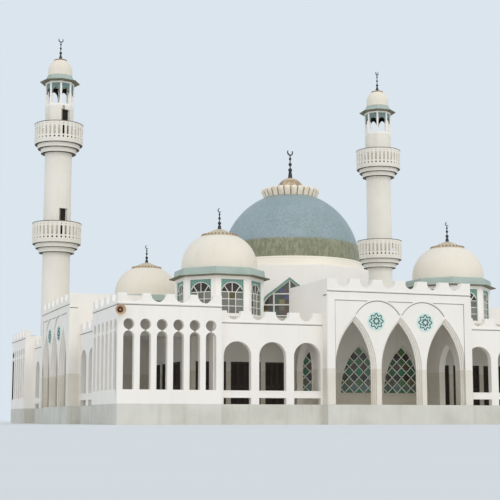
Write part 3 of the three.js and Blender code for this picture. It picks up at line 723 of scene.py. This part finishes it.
def pavilion():
    # The front left one, with the building's corner at x 0, y 0; its side screen is drawn like the front one,
    # then x and y are swapped
    width, depth, wall = corner["width"], corner["depth"], body["outerWall"]
    foot, beam, top = body["floor"], corner["beam"], corner["dip"]
    x, y, near = width - wall, depth - wall, wing["recess"] + wall
    side = screen(depth, wall, 0)
    return joined([
        screen(width, 0, -0.06), cleaned(side.like(points=side.points[:, [1, 0, 2]])),
        crates([[x, wall, foot], [wall, y, foot], [x, y, foot], [x, wall, beam], [wall, y, beam]],
               [[width, near, beam], [near, depth, beam], [width, depth, top], [width, y, top],
                [x, depth, top]]),
        crates([wall, wall, body["roof"] - body["roofThickness"]], [x, y, body["roof"]], finish=2),
    ])


hallWindow = {"pitch": 3.27, "half": 1.46, "sill": 2.07, "spring": 2.12, "apex": 5.5, "bar": 0.05}
hallDoor = {"width": 2.12, "pitch": 2.44, "farthest": 11.83, "nearest": 5.234, "head": 4.12, "leaves": 4,
            "slat": 0.085, "stile": 0.055, "rail": 0.09}


def clippedBars(half, sill, spring, apex):
    # Both families of slanting lines, x = wide (k / 2 + s) and z = phase + or - high (k / 2 - s), cut where they
    # leave the pointed opening, which many samples along each find
    rise = apex - spring
    radius = (half * half + rise * rise) / (2 * half)
    starts, ends = [], []
    s = np.linspace(-6, 6, 4801)
    for sign in (1, -1):
        for k in np.arange(-8, 9) + 0.5:
            x = diamond["wide"] * (k / 2 + s)
            z = diamond["phase"] + sign * diamond["high"] * (k / 2 - s)
            underArc = (z < spring) | (np.hypot(np.abs(x) - half + radius, z - spring) < radius)
            inside = np.flatnonzero((np.abs(x) < half) & (z > sill) & underArc)
            if len(inside) > 40:
                starts.append((x[inside[0]], z[inside[0]]))
                ends.append((x[inside[-1]], z[inside[-1]]))
    return starts, ends


def hallOpening():
    # One pointed window: frame, sill, diamond lattice and a sheet of coloured glass behind it
    half, sill, spring, apex = (hallWindow[key] for key in ("half", "sill", "spring", "apex"))
    line = pointedLine(0, half, sill, spring, apex)
    inner = offsetLine(line, 0.05)
    inner[[0, -1], 1] = sill + 0.01
    lattice = clippedBars(half - 0.07, sill + 0.05, spring, apex - 0.1)
    return joined([
        archBand(line, [(-0.02, 0.12), (0.035, 0.1), (0.085, 0.14), (0.085, 0.24), (-0.02, 0.24)]),
        archBand(line, [(-0.09, -0.03), (0.0, -0.03), (0.0, 0.01), (-0.09, 0.01)]),
        crates([[-half - 0.1, -0.06, sill - 0.08], [-half, 0.1, sill]],
               [[half + 0.1, 0.22, sill], [half, 0.24, sill + 0.07]]),
        bars(*lattice, hallWindow["bar"], 0.15, 0.185, finish=1),
        slab(inner, 0.19, 0.2, finish=2),
    ])


def doorway(x0, x1):
    # Folding louvre leaves in a dark frame under a pale lintel line
    foot, head, stile, rail = body["floor"], hallDoor["head"], hallDoor["stile"], hallDoor["rail"]
    edges = np.linspace(x0 + 0.05, x1 - 0.05, hallDoor["leaves"] + 1)
    left, right = edges[:-1] + 0.008, edges[1:] - 0.008
    low, high = foot + 0.02, head - 0.06
    middle = low + (high - low) * 0.42
    levels = (low, middle, high - rail)
    heights = np.arange(low + 0.12, high - 0.12, hallDoor["slat"])
    heights = heights[(heights < middle - 0.06) | (heights > middle + 0.1)]
    slatX, slatZ = (v.ravel() for v in np.meshgrid(left + stile, heights))
    slats = columns(slatX, 0.125, slatZ)
    return joined([
        crates([[x0, 0.08, foot], [x1 - 0.05, 0.08, foot], [x0, 0.08, head - 0.06], [x0 + 0.02, 0.2, foot]],
               [[x0 + 0.05, 0.22, head], [x1, 0.22, head], [x1, 0.22, head], [x1 - 0.02, 0.21, head]], finish=3),
        crates(np.vstack([columns(x, 0.12, low) for x in (left, right - stile)]),
               np.vstack([columns(x, 0.165, high) for x in (left + stile, right)]), finish=3),
        crates(np.vstack([columns(left + stile, 0.125, z) for z in levels]),
               np.vstack([columns(right - stile, 0.16, z + rail) for z in levels]), finish=3),
        crates(slats, slats + (right[0] - left[0] - 2 * stile, 0.012, 0.055), finish=3, lean=0.028),
        crates([x0 - 0.08, -0.03, head + 0.1], [x1 + 0.08, 0.01, head + 0.19]),
    ])


def hallJoinery(end, inset):
    # Three windows in the middle and doors out from the far end, the last one narrower
    window = hallOpening()
    shells = [window.moved(shift=(i * hallWindow["pitch"], 0, 0)) for i in (-1, 0, 1)]
    shift = end - alongX["end"]
    far, nearest = hallDoor["farthest"] + shift, hallDoor["nearest"] + shift
    while far > nearest:
        door = doorway(max(far - hallDoor["width"], nearest), far)
        shells += [door, door.moved(flip=mirror)]
        far -= hallDoor["pitch"]
    return joined(shells).moved(shift=(0, inset, 0))


for name, (turn, size) in sides.items():
    end, inset, half = size["end"], size["inset"], size["half"]
    row = arcade(half + body["gap"], end - body["gap"], inset)
    for part, shell, finishes, node, slot in (
            ("ArcadeRight", row, ["white", "paintedShade"], "arcade_right", "white_render"),
            ("ArcadeLeft", row.moved(flip=mirror), ["white", "paintedShade"], "arcade_left", "white_render"),
            ("PortalFront", portalFront(half), ["portalWhite", "paintedShade", "disc", "star"],
             "portal_wall", "white_render"),
            ("PortalShell", portalShell(half, inset), ["portalWhite"], "portal_shell", "white_render"),
            ("HallJoinery", hallJoinery(end, inset), ["plaster", "lattice", "diamondGlass", "door"],
             "hall_glazing", "window_glass")):
        shell = shell.moved(turn=turn, shift=(0, -size["reach"], 0))
        piece(name + part, shell, finishes, name + "_" + node)
    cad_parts[name + "_hall_wall"].data.materials[0] = finish["plaster"]
print("sides done")

corners = {"front_left": (-1, -1), "front_right": (1, -1), "back_right": (1, 1), "back_left": (-1, 1)}
quarter = pavilion().moved(shift=(-body["halfWidth"], -body["halfDepth"], 0))
for name, (sx, sy) in corners.items():
    piece(name.replace("_", "") + "Pavilion", quarter.moved(flip=(-sx, -sy, 1)), ["white", "paintedShade", "roof"],
          name + "_pavilion")
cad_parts["plinth"].data.materials[0] = finish["plinth"]
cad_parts["hall_roof"].data.materials[0] = finish["roof"]
print("pavilions done")


def ring(panel, apothem, angles):
    # Copies of a flat panel, drawn with its face at y 0, that close up to a ring: x shrinks by 1 - y / apothem
    panel = panel.like(points=panel.points * (1 - panel.points[:, 1:2] / apothem * (1, 0, 0)))
    return joined([panel.moved(turn=angle, shift=(0, -apothem, 0)) for angle in angles])


def octagonFace(radius):
    # How far a face lies from the axis, R cos 22.5, and half its width, R sin 22.5
    return radius * math.cos(math.pi / 8), radius * math.sin(math.pi / 8)


def drumPanel(size, holes):
    # One face of the drum, drawn flat, with its holes
    halfFace = octagonFace(size["radius"])[1]
    return cutWall(oblong(halfFace, body["roof"] + body["gap"], size["top"]), holes, 0, size["wall"])


eighths = np.arange(8) * 45
smallDrum = {"x": 9.021, "y": 9.811, "radius": 3.097, "wall": 0.3, "top": 10.0, "eaveRadius": 3.534,
             "eaveLip": 2.45, "eaveTopRadius": 3.15, "eaveTop": 10.574, "halfWindow": 0.8045, "sill": 7.384,
             "head": 9.719, "spring": 8.86, "fan": 0.66, "rows": 3, "fork": 0.28, "forkTurn": 40, "bar": 0.05}
# places in the gauze's palette of eight
paneTints = np.array([0, 1, 3, 0, 1, 6, 0, 7, 1, 5, 4, 1, 3, 0, 2, 6]) / 8 + 0.06
fanTints = np.array([2, 4, 2, 2, 4, 2, 2]) / 8 + 0.06


def drumWindow(seed):
    # A jade frame, three columns of panes, a fanlight of four, and jade spandrels round its arch
    half, sill, head, spring, rise, bar = (
        smallDrum[key] for key in ("halfWindow", "sill", "head", "spring", "fan", "bar"))
    inner = half - 0.04
    fan = roundLine(0, inner, spring, spring, rise, 21)
    spandrel = np.vstack([[-inner, spring], [-inner, head], [inner, head], [inner, spring], fan[1:-1]])
    xs = np.linspace(-inner, inner, 4)
    zs = np.linspace(sill + 0.04, spring, smallDrum["rows"] + 1)
    turn, fork = math.radians(smallDrum["forkTurn"]), smallDrum["fork"]
    tip, tipZ = inner * math.cos(turn), spring + rise * math.sin(turn)
    parts = [
        crates([[-half, 0.06, sill], [inner, 0.06, sill], [-half, 0.06, head - 0.04]],
               [[-inner, 0.16, head], [half, 0.16, head], [half, 0.16, head]], finish=1),
        crates([[-half, 0.06, sill - 0.02], [-inner, 0.07, spring - bar / 2]],
               [[half, 0.2, sill + 0.04], [inner, 0.15, spring + bar / 2]]),
        slab(spandrel, 0.1, 0.14, finish=1),
        archBand(fan, [(-0.025, 0.07), (0.025, 0.07), (0.025, 0.15), (-0.025, 0.15)]),
        bars(columns(xs[1:-1], zs[0]), columns(xs[1:-1], spring), bar, 0.08, 0.14),
        bars(columns(-inner, zs[1:-1]), columns(inner, zs[1:-1]), bar, 0.085, 0.135),
        bars([(0, spring), (-fork, spring), (fork, spring)], [(0, spring + rise), (-tip, tipZ), (tip, tipZ)],
             bar, 0.085, 0.135),
    ]
    tints = np.roll(paneTints, seed * 5)
    for i in range(3):
        for j in range(smallDrum["rows"]):
            pane = crates([xs[i], 0.12, zs[j]], [xs[i + 1], 0.125, zs[j + 1]], finish=2)
            parts.append(pane.like(tint=tints[i + 3 * j]))
    for i, (a, b) in enumerate(((0, smallDrum["forkTurn"]), (smallDrum["forkTurn"], 90))):
        arc = ellipse(np.radians(np.linspace(a, b, 9)), inner, rise)
        sector = np.vstack([[fork, 0], arc, np.zeros((i, 2))]) + (0, spring)
        for sign in (1, -1):
            tint = fanTints[(seed + i * 2 + sign) % len(fanTints)]
            parts.append(slab(sector * (sign, 1), 0.12, 0.125, finish=2, tint=tint))
    return joined(parts)


d = smallDrum
apothem = octagonFace(d["radius"])[0]
drumWalls = ring(drumPanel(d, [oblong(d["halfWindow"], d["sill"], d["head"])]), apothem, eighths)
drumWindows = joined([ring(drumWindow(k), apothem, [45 * k]) for k in range(8)])
# a thin skirt over a soffit in olive, darkened as painted shade, under an upright band
drumEave = lathe(
    [(d["eaveLip"], 9.95), (d["radius"] + 0.02, 9.95), (d["eaveRadius"], 9.97), (d["eaveRadius"], 10.03),
     (d["eaveTopRadius"] + 0.05, 10.14), (d["eaveTopRadius"], 10.53), (d["eaveTopRadius"] - 0.05, d["eaveTop"]),
     (d["eaveLip"], d["eaveTop"])],
    8, 22.5, closed=True, finish=[1, 1, 1, 0, 0, 0, 0, 0])

smallDome = {"radius": 2.65, "base": 10.5743, "stilt": 0.28, "top": 13.485, "sag": 0.16, "capRadius": 1.33,
             "capTop": 13.575, "petals": 28, "studRadius": 1.2}
# a foot's lower and upper radius and height; each ball's height and radius; the moon's height and radius
smallFinial = {"foot": (0.135, 0.1, 0.25), "stem": 0.035, "balls": ((0.42, 0.12), (0.77, 0.095), (1.04, 0.07)),
               "moon": (1.34, 0.15)}


def crescent(z, radius, turn, lean):
    # A moon with its horns up, leant to one side: between two ellipses, the inner one smaller and higher
    t = np.radians(np.linspace(148, 392, 25))
    outer = ellipse(t, radius, radius)
    inner = ellipse(t[::-1], radius * 0.74, radius * 0.8, 0.0, radius * 0.17)
    inner[[0, -1]] = (outer[[-1, 0]] + inner[[0, -1]]) / 2
    a = math.radians(lean)
    tip = np.array([[math.cos(a), -math.sin(a)], [math.sin(a), math.cos(a)]])
    return slab(np.vstack([outer, inner]) @ tip + (0, z), -radius * 0.13, radius * 0.13).moved(turn=turn)


def finial(size, z, turn, lean=0.0):
    # A tapered foot, three balls on a stem and a crescent: a ball's rows are r = R sqrt(1 - v v) at height R v
    (wide, narrow, tall), stem = size["foot"], size["stem"]
    profile = [(0.0, z - 0.06), (wide, z - 0.06), (wide, z + 0.02), (narrow, z + tall)]
    for middle, radius in size["balls"]:
        ball = [(radius * math.sqrt(1 - v * v), z + middle + radius * v) for v in np.linspace(-1, 1, 9)[1:-1]]
        profile += [(stem, z + middle - radius * 1.02), *ball, (stem, z + middle + radius * 1.02)]
    middle, radius = size["moon"]
    profile += [(stem, z + middle - radius * 0.9), (0.0, z + middle - radius * 0.88)]
    return joined([lathe(profile, 16), crescent(z + middle, radius, turn, lean)])


def domeCurve(size, steps=25):
    # A quarter ellipse on a short upright foot, its top lowered:
    # r = R cos t, z = spring + H sin t - 2 sag (1 - cos t)
    radius, spring = size["radius"], size["base"] + size["stilt"]
    t = np.linspace(0, math.pi / 2, steps)
    height = spring + (size["top"] - spring) * np.sin(t) - 2 * size["sag"] * (1 - np.cos(t))
    return np.vstack([[radius, size["base"]], columns(radius * np.cos(t), height)])


def petalCap(radius, low, top, petals, bulge=1.4, count=10):
    # A low tent, z = low + rise (1 - (r / R)^bulge), whose rim dips and swells as |cos| of half the petal angle
    t = np.linspace(1, 0.02, count)
    rows = [(radius * v, low + (top - low) * (1 - v ** bulge)) for v in t]
    profile = [(0.0, low - 0.03), (radius * 0.985, low - 0.03), (radius * 1.015, low - 0.01), *rows, (0.0, top)]

    def scallop(r, angle, z):
        wave = np.abs(np.cos(petals * angle / 2))
        edge = np.clip((r / radius - 0.55) / 0.45, 0, 1) ** 2
        return r * (1 + edge * 0.035 * (wave - 0.6)), z - edge * 0.06 * (wave - 0.5)
    return lathe(profile, petals * 8, shape=scallop)


s = smallDome
curve = domeCurve(s)
capLow = float(np.interp(s["capRadius"], *curve[:0:-1].T)) + 0.02
stud = lathe([(0.0, -0.07), (0.05, -0.05), (0.075, 0.0), (0.055, 0.05), (0.0, 0.065)], 8, finish=2)
dome = joined([
    lathe([(0.0, s["base"]), *curve], 72),
    petalCap(s["capRadius"], capLow, s["capTop"], s["petals"]).like(finish=1),
    *[stud.moved(turn=(i + 0.5) * 360 / s["petals"], shift=(0, -s["studRadius"], capLow + 0.11))
      for i in range(s["petals"])],
    finial(smallFinial, s["capTop"] - 0.02, 12, 62).like(finish=3),
])
for name, (sx, sy) in corners.items():
    for part, shell, finishes, node, slot, sharp in (
            ("DrumWalls", drumWalls, ["upper"], "_drum", "white_render", 34),
            ("DrumWindows", drumWindows, ["joinery", "jade", "gauze"], "_drum_glazing", "window_glass", 34),
            ("DrumEave", drumEave, ["celadon", "olive"], "_drum", "celadon_tile", 20),
            ("Dome", dome, ["cream", "tan", "rust", "iron"], "_dome", "cream_dome", 34)):
        shell = shell.moved(shift=(sx * d["x"], sy * d["y"], 0))
        piece(name.replace("_", "") + part, shell, finishes, name + node, sharp)
print("corner domes done")

mainDrum = {"y": -0.651, "radius": 6.538, "wall": 0.45, "top": 11.765, "sill": 7.384, "half": 2.232,
            "bars": (8.78, 9.6, 7.96), "deck": (4.9, 6.06)}
mainDome = {"ringRadius": 5.673, "ringInner": 5.0, "ringTop": 12.509, "radius": 5.487, "rise": 5.72,
            "centre": 12.555, "crownRadius": 2.1, "crownTop": 18.57, "crownFloor": 17.93, "petals": 26,
            "capRadius": 1.25, "capTop": 19.54}
mainFinial = {"foot": (0.18, 0.12, 0.53), "stem": 0.045, "balls": ((0.69, 0.16), (1.14, 0.14), (1.6, 0.11)),
              "moon": (2.13, 0.27)}
windowTurns = np.array([-22.5, 67.5, 157.5, 247.5])


def keelLine(half, foot):
    # Up the right leg, round a tight shoulder (a quadratic curve over a, b, c), straight to the point and down
    t = np.linspace(0, 1, 9)[:, None]
    a, b, c = np.array([half, 8.4]), np.array([half, 9.26]), np.array([half * 0.6, 9.79])
    shoulder = (1 - t) ** 2 * a + 2 * t * (1 - t) * b + t ** 2 * c
    right = np.vstack([[half, foot], shoulder, [half * 0.3, 10.3]])
    return np.vstack([right, [0, 10.825], (right * (-1, 1))[::-1]])


def mainWindow():
    # A jade frame, three upright and three level bars, and coloured glass
    half, sill = mainDrum["half"], mainDrum["sill"]
    line = keelLine(half, sill)
    inner = offsetLine(line, 0.12)
    shells = [archBand(line, [(-0.01, 0.05), (0.12, 0.05), (0.12, 0.3), (-0.01, 0.3)], finish=1),
              archBand(inner, [(-0.005, 0.15), (0.06, 0.15), (0.06, 0.25), (-0.005, 0.25)])]
    inner[[0, -1], 1] = sill + 0.02
    side, height = inner[:len(inner) // 2 + 1].T
    xs, levels = np.array([-1.22, 0.0, 1.22]), np.array(mainDrum["bars"])
    tops = np.interp(np.abs(xs), side[::-1], height[::-1])
    reach = np.interp(levels, height, side)
    return joined([
        *shells,
        bars(columns(xs, sill), columns(xs, tops), 0.1, 0.16, 0.25),
        bars(columns(-reach, levels), columns(reach, levels), 0.09, 0.17, 0.24),
        crates([-half, 0.05, sill - 0.02], [half, 0.3, sill + 0.08]),
        slab(inner, 0.26, 0.28, finish=2),
    ])


m, g = mainDrum, mainDome
apothem = octagonFace(m["radius"])[0]
(inside, outside), top = m["deck"], m["top"]
drum = joined([
    ring(drumPanel(m, [keelLine(m["half"], m["sill"])]), apothem, windowTurns),
    ring(drumPanel(m, []), apothem, windowTurns + 45),
    lathe([(inside, top - 0.25), (outside, top - 0.25), (outside, top), (inside, top)], 8, closed=True),
])
base, rim = m["top"] + body["gap"], g["ringRadius"]
domeRing = lathe(
    [(g["ringInner"], base), (rim - 0.04, base), (rim, base + 0.05), (rim, base + 0.5),
     (rim - 0.05, base + 0.54), (rim - 0.05, base + 0.6), (rim - 0.02, base + 0.64),
     (rim - 0.05, g["ringTop"]), (g["ringInner"], g["ringTop"])], 128, closed=True)
t = np.linspace(0, math.acos(g["crownRadius"] / g["radius"]), 33)
curve = np.vstack([[g["radius"], g["ringTop"] + body["gap"]],
                   ellipse(t, g["radius"], g["rise"], 0.0, g["centre"])])
crownFoot = curve[-1][1] + 0.001


def crownRing():
    # Petals side by side that lean out from a narrow foot: the radius swells over each petal as |sin|^0.6, and
    # its top is round
    n, r, top = g["petals"], g["crownRadius"], g["crownTop"]
    profile = [(r - 0.32, crownFoot), (r - 0.04, crownFoot), (r, crownFoot + 0.08), (r + 0.06, crownFoot + 0.3),
               (r + 0.15, top - 0.3), (r + 0.18, top - 0.14), (r + 0.12, top), (r - 0.08, top - 0.05),
               (r - 0.26, top - 0.5)]

    def petal(radius, angle, z):
        wave = np.abs(np.sin(n * angle / 2)) ** 0.6
        outside = np.clip((radius - r + 0.12) / 0.12, 0, 1)
        crown = np.clip((z - top + 0.3) / 0.3, 0, 1)
        return radius + outside * 0.11 * (wave - 0.55), z - crown * 0.14 * (1 - wave)
    shell = lathe(profile, n * 10, closed=True, shape=petal)
    x, y, _ = shell.centres().T
    # the creases between the petals are painted shade
    shell.finish[(np.abs(np.sin(n * np.arctan2(y, x) / 2)) < 0.3) & (np.hypot(x, y) > r - 0.06)] = 2
    return shell


t = np.linspace(0, math.pi / 2, 15)
capCurve = ellipse(t, g["capRadius"], g["capTop"] - g["crownFloor"], 0.0, g["crownFloor"])
crownDome = lathe(
    [(0.0, crownFoot), (g["crownRadius"] - 0.2, crownFoot), (g["crownRadius"] - 0.25, g["crownFloor"]),
     (g["capRadius"], g["crownFloor"] + 0.02), *capCurve[1:]], 64, finish=3)
crown = joined([crownRing(), crownDome, finial(mainFinial, g["capTop"] - 0.03, 12).like(finish=1)])
for name, shell, finishes, node, slot in (
        ("mainDrumWalls", drum, ["upper"], "main_drum", "white_render"),
        ("mainDrumWindows", ring(mainWindow(), apothem, windowTurns), ["joinery", "jade", "colourGlass"],
         "main_drum_glazing", "window_glass"),
        ("mainDomeRing", domeRing, ["ring"], "main_dome_ring", "cream_dome"),
        ("mainDome", lathe([(0.0, g["ringTop"] + 0.001), *curve, (0.0, curve[-1][1])], 144), ["mosaic"],
         "main_dome", "slate_tile"),
        ("mainCrown", crown, ["crown", "iron", "gap", "peach"], "main_dome_crown", "tan_trim")):
    piece(name, shell.moved(shift=(0, m["y"], 0)), finishes, node)
print("main dome done")

minaret = {"x": 15.698, "y": 15.475, "radius": 1.2, "upper": 1.181, "tower": 27.854,
           "balconies": (15.624, 24.506), "slab": 0.16, "balcony": 2.139, "rail": 1.78, "railWall": 0.11,
           "bays": 34, "halfDoor": 0.36, "door": 2.85, "doorDepth": 0.22}
lantern = {"top": 30.076, "head": 29.93, "spring": 29.0, "apex": 29.56, "halfOpen": 0.395, "wall": 0.22,
           "eave": 1.767, "eaveTop": 30.737, "cap": 1.07, "capSpring": 31.2, "capRise": 1.14, "brim": 0.58,
           "brimFoot": 32.25}
minaretFinial = {"foot": (0.18, 0.08, 0.4), "stem": 0.035, "balls": ((0.6, 0.125), (1.04, 0.095), (1.42, 0.08)),
                 "moon": (1.82, 0.23)}
# the undersides of a balcony's steps, from its floor's underside, in olive darkened as painted shade
soffits = ((-0.9, -0.84), (-0.49, -0.45), (-0.11, -0.07))


def balconySteps(shaft, z):
    # Three corbelled steps out from the shaft
    top = z + minaret["slab"]
    return [(shaft, z - 1.1), (shaft + 0.02, z - 0.88), (1.54, z - 0.86), (1.56, z - 0.8), (1.575, z - 0.48),
            (1.83, z - 0.46), (1.85, z - 0.4), (1.865, z - 0.1), (2.1, z - 0.08), (2.12, z - 0.03),
            (2.125, z + 0.13), (2.1, top), (shaft, top)]


def within(values, spans):
    # True where a value lies in any of the spans
    return np.logical_or.reduce([(values > low) & (values < high) for low, high in spans])


def minaretShaft(doorAngle, twist):
    # One surface of angle and height: round below, eight-sided above the upper balcony, with two doors sunk in
    v = minaret
    rows = [(v["radius"], body["floor"]), (v["radius"], 8.0), (v["radius"], 12.0)]
    for z, r in zip(v["balconies"], (v["radius"], v["upper"])):
        foot, head = z + v["slab"], z + v["slab"] + v["door"]
        rows += [*balconySteps(r, z), (r, foot + 0.03), (r, foot + 0.04), (r, head), (r, head + 0.01)]
        if r == v["radius"]:
            rows += [(v["upper"], 19.5), (v["upper"], 22.0)]
    rows = np.array([*rows, (v["upper"], v["tower"]), (0.8, v["tower"])])
    middle, width = math.radians(doorAngle), math.asin(v["halfDoor"] / v["radius"])
    jambs = np.array([-width - 0.006, -width, width, width + 0.006])
    angles = np.sort(np.concatenate([np.arange(64) * fullTurn / 64, jambs]) + middle)
    reach, height = rows[:, 0, None], rows[:, 1, None]
    # an octagon's radius is its apothem / cos of the angle from the face's middle
    eightSided = v["upper"] / np.cos(np.radians((np.degrees(angles) - twist) % 45 - 22.5))
    isUpper = (height > v["balconies"][1] + v["slab"] + 0.02) & (reach > 1)
    radius = np.where(isUpper, eightSided, reach)
    levels = [(z + v["slab"] + 0.035, z + v["slab"] + v["door"] + 0.001) for z in v["balconies"]]
    nearDoor = np.abs((angles - middle + math.pi) % fullTurn - math.pi) <= width + 0.001
    radius = np.where(nearDoor & within(height, levels), radius - v["doorDepth"], radius)
    shell = sheet(turned(radius, angles, height), closeCols=True)
    x, y, z = shell.centres().T
    reach = np.hypot(x, y)
    away = np.abs((np.arctan2(y, x) - middle + math.pi) % fullTurn - math.pi)
    # the sunk doors' backs are near black: painted shade
    shell.finish[(away < width - 0.01) & (reach < 1.1) & within(z, levels)] = 1
    # the steps' undersides take olive darkened as painted shade
    spans = [(foot + low - 0.005, foot + high + 0.005) for foot in v["balconies"] for low, high in soffits]
    shell.finish[within(z, spans) & (reach > 1.22)] = 2
    return joined([shell, lathe([(0.0, body["floor"]), (v["radius"], body["floor"])], 64)])


def railing(z):
    # Flat bays round the balcony under a rim, each with a small round hole, a tall slot and a low hole with
    # painted shade behind
    n, radius = minaret["bays"], minaret["balcony"] - 0.02
    half = radius * math.tan(math.pi / n)
    bottom, top = z + minaret["slab"] + body["gap"], z + minaret["rail"]
    slot = np.vstack([arcLine(0, top - 0.51, 0.1, 0, 180, 7), arcLine(0, top - 1.14, 0.1, 180, 360, 7)])
    holes = [slot, arcLine(0, top - 0.26, 0.055, 0, 324, 10), arcLine(0, top - 1.42, 0.085, 0, 324, 10)]
    bay = cutWall(oblong(half, bottom, top - 0.05), holes, 0, minaret["railWall"])
    inner, outer, low, high = radius - 0.14, radius - 0.117, top - 1.55, top - 1.3
    return joined([
        ring(bay, radius, np.arange(n) * 360 / n),
        # a ring of painted shade behind the low holes
        lathe([(outer, low), (outer, high), (inner, high), (inner, low)], 72, closed=True, finish=2),
        lathe([(radius - 0.13, top - 0.06), (radius + 0.02, top - 0.06), (radius + 0.035, top - 0.04),
               (radius + 0.035, top - 0.015), (radius + 0.01, top), (radius - 0.12, top), (inner, top - 0.03)],
              72, closed=True, finish=1),
    ])


def lanternRoom():
    # Eight posts and heads: a tall opening in each face, with a jade spandrel round a pointed head; painted shade
    # backs the spandrels and the ceiling
    apothem, halfOpen, head, top = minaret["upper"], lantern["halfOpen"], lantern["head"], lantern["top"]
    bottom, spring = minaret["tower"] + body["gap"], lantern["spring"]
    panel = cutWall(oblong(apothem * math.tan(math.pi / 8), bottom, top),
                    [oblong(halfOpen, minaret["tower"] + 0.2, head)], 0, lantern["wall"])
    line = pointedLine(0, halfOpen - 0.02, spring, spring + 0.02, lantern["apex"], 8)
    spandrel = np.vstack([[-halfOpen, spring], [-halfOpen, head], [halfOpen, head], [halfOpen, spring], line])
    # behind each jade spandrel, a sheet of painted shade
    face = joined([panel, slab(spandrel, 0.07, 0.12, finish=1), slab(spandrel, 0.1205, 0.15, finish=2)])
    return joined([
        ring(face, apothem, 22.5 + eighths),
        # a ceiling of painted shade
        lathe([(0.0, top - 0.04), (0.99, top - 0.04), (0.99, top - 0.01), (0.0, top - 0.01)], 8, finish=2),
        lathe([(0.0, bottom), (1.0, bottom), (1.0, bottom + 0.05), (0.0, bottom + 0.05)], 8),
    ])


def lanternCap():
    # An eight-sided eave, a celadon skirt and a tall round dome with a scalloped cap
    v, base = lantern, lantern["top"] + body["gap"]
    # the eave's underside and lip in olive, darkened as painted shade
    eave = lathe([(0.0, base), (1.1, base), (v["eave"] - 0.02, base + 0.03), (v["eave"], base + 0.09),
                  (1.25, base + 0.3), (1.12, v["eaveTop"]), (0.0, v["eaveTop"])], 8, finish=[1, 1, 1, 2, 2, 2])
    over = ellipse(np.linspace(0, math.acos(0.5 / v["cap"]), 17), v["cap"], v["capRise"], 0.0, v["capSpring"])
    brim, wide = v["brimFoot"], v["brim"]
    dome = lathe([(0.0, v["eaveTop"]), (v["cap"], v["eaveTop"]), *over, (0.0, brim - 0.03)], 48)

    def scallop(r, angle, z):
        return r, z - np.clip((r - 0.35) / 0.2, 0, 1) * 0.07 * (1 - np.abs(np.cos(8 * angle)))
    rim = lathe([(0.0, brim - 0.02), (0.5, brim - 0.03), (wide, brim - 0.02), (wide, brim + 0.02),
                 (0.48, brim + 0.05), (0.3, brim + 0.1), (0.0, brim + 0.13)], 96, finish=[3, 3, 3, 3, 5, 5],
                shape=scallop)
    return joined([dome, eave, rim, finial(minaretFinial, brim + 0.08, 14).like(finish=4)])


# each minaret's side, the way its doors face and how far its eight-sided top is turned
for name, sx, doorAngle, twist in (("left", -1, -71, -6), ("right", 1, 71, 18.5)):
    lower, upper = (railing(z) for z in minaret["balconies"])
    for part, shell, finishes, node, slot in (
            ("Shaft", minaretShaft(doorAngle, twist), ["shaft", "shadow", "soffit"], "shaft",
             "minaret_render"),
            ("LowerRail", lower, ["shaft", "rim", "shadow"], "lower_rail", "minaret_render"),
            ("UpperRail", upper, ["shaft", "rim", "shadow"], "upper_rail", "minaret_render"),
            ("Lantern", lanternRoom().moved(turn=twist), ["upper", "slate", "shadow"], "lantern",
             "white_render"),
            ("Cap", lanternCap().moved(turn=twist), ["cream", "olive", "celadon", "rust", "iron", "tan"], "cap",
             "cream_dome")):
        piece(name + "Minaret" + part, shell.moved(shift=(sx * minaret["x"], minaret["y"], 0)), finishes,
              name + "_minaret_" + node)
print("minarets done")

horn = {"spot": (-18.6, -19.7753, 6.73), "radius": 0.33, "length": 0.52}
# shares of the horn's radius and length: outside, round the lip and in, then the throat's cone
hornShares = np.array([
    (0.0, 0.0), (0.3, 0.0), (0.34, 0.0576923), (0.34, 0.36), (0.4, 0.5), (0.6, 0.74), (0.92, 0.96),
    (1.0, 0.985), (1.0, 1.0), (0.9393939, 1.0), (0.88, 0.95), (0.55, 0.7), (0.36, 0.5), (0.3, 0.45),
    (0.3, 0.62), (0.24, 0.72), (0.1, 0.78), (0.0, 0.79)])
speaker = joined([
    lathe(hornShares * (horn["radius"], horn["length"]), 40, finish=[0] * 11 + [1] * 4 + [2] * 2),
    crates([[-0.035, -0.035, -0.06], [-0.16, -0.02, 0.1]], [[0.035, 0.035, 0.01], [0.16, 0.02, 0.14]]),
])
piece("cornerHorn", speaker.like(points=speaker.points[:, [0, 2, 1]] * (1, -1, 1)).moved(shift=horn["spot"]),
      ["horn", "hornDark", "rust"], "loudspeaker")

floorMesh = bpy.data.meshes.new("floor")
floorReach = 450.0
edges = [(x * floorReach, y * floorReach, 0) for x, y in ((-1, -1), (1, -1), (1, 1), (-1, 1))]
floorMesh.from_pydata(edges, [], [(0, 1, 2, 3)])
ground = Finish("paleFloor", 0.9)
ground.set(Base_Color=ground.mix(ground.noise(0.6, 3.0) * 0.15, "e2e3e2", "ced0d0"))
floorMesh.materials.append(ground.material)
floor = bpy.data.objects.new("floor", floorMesh)
scene.collection.objects.link(floor)

world = bpy.data.worlds.new("studio")
world.use_nodes = True
background = world.node_tree.nodes["Background"]
background.inputs["Color"].default_value = rgb("dbe5ee")
background.inputs["Strength"].default_value = 1.0
scene.world = world

# a soft high key from the front right and a softer low fill from the front left: strength, width, tilt and turn
for name, energy, width, tilt, turn in (("key", 0.5, 30, 46, 14), ("fill", 0.45, 50, 80, -20)):
    lamp = bpy.data.lights.new(name, "SUN")
    lamp.energy, lamp.angle, lamp.color = energy, math.radians(width), (1.0, 0.93, 0.82)
    light = bpy.data.objects.new(name, lamp)
    light.rotation_euler = (math.radians(tilt), 0, math.radians(turn))
    scene.collection.objects.link(light)
scene.view_settings.view_transform = "Standard"

print("scene ready")
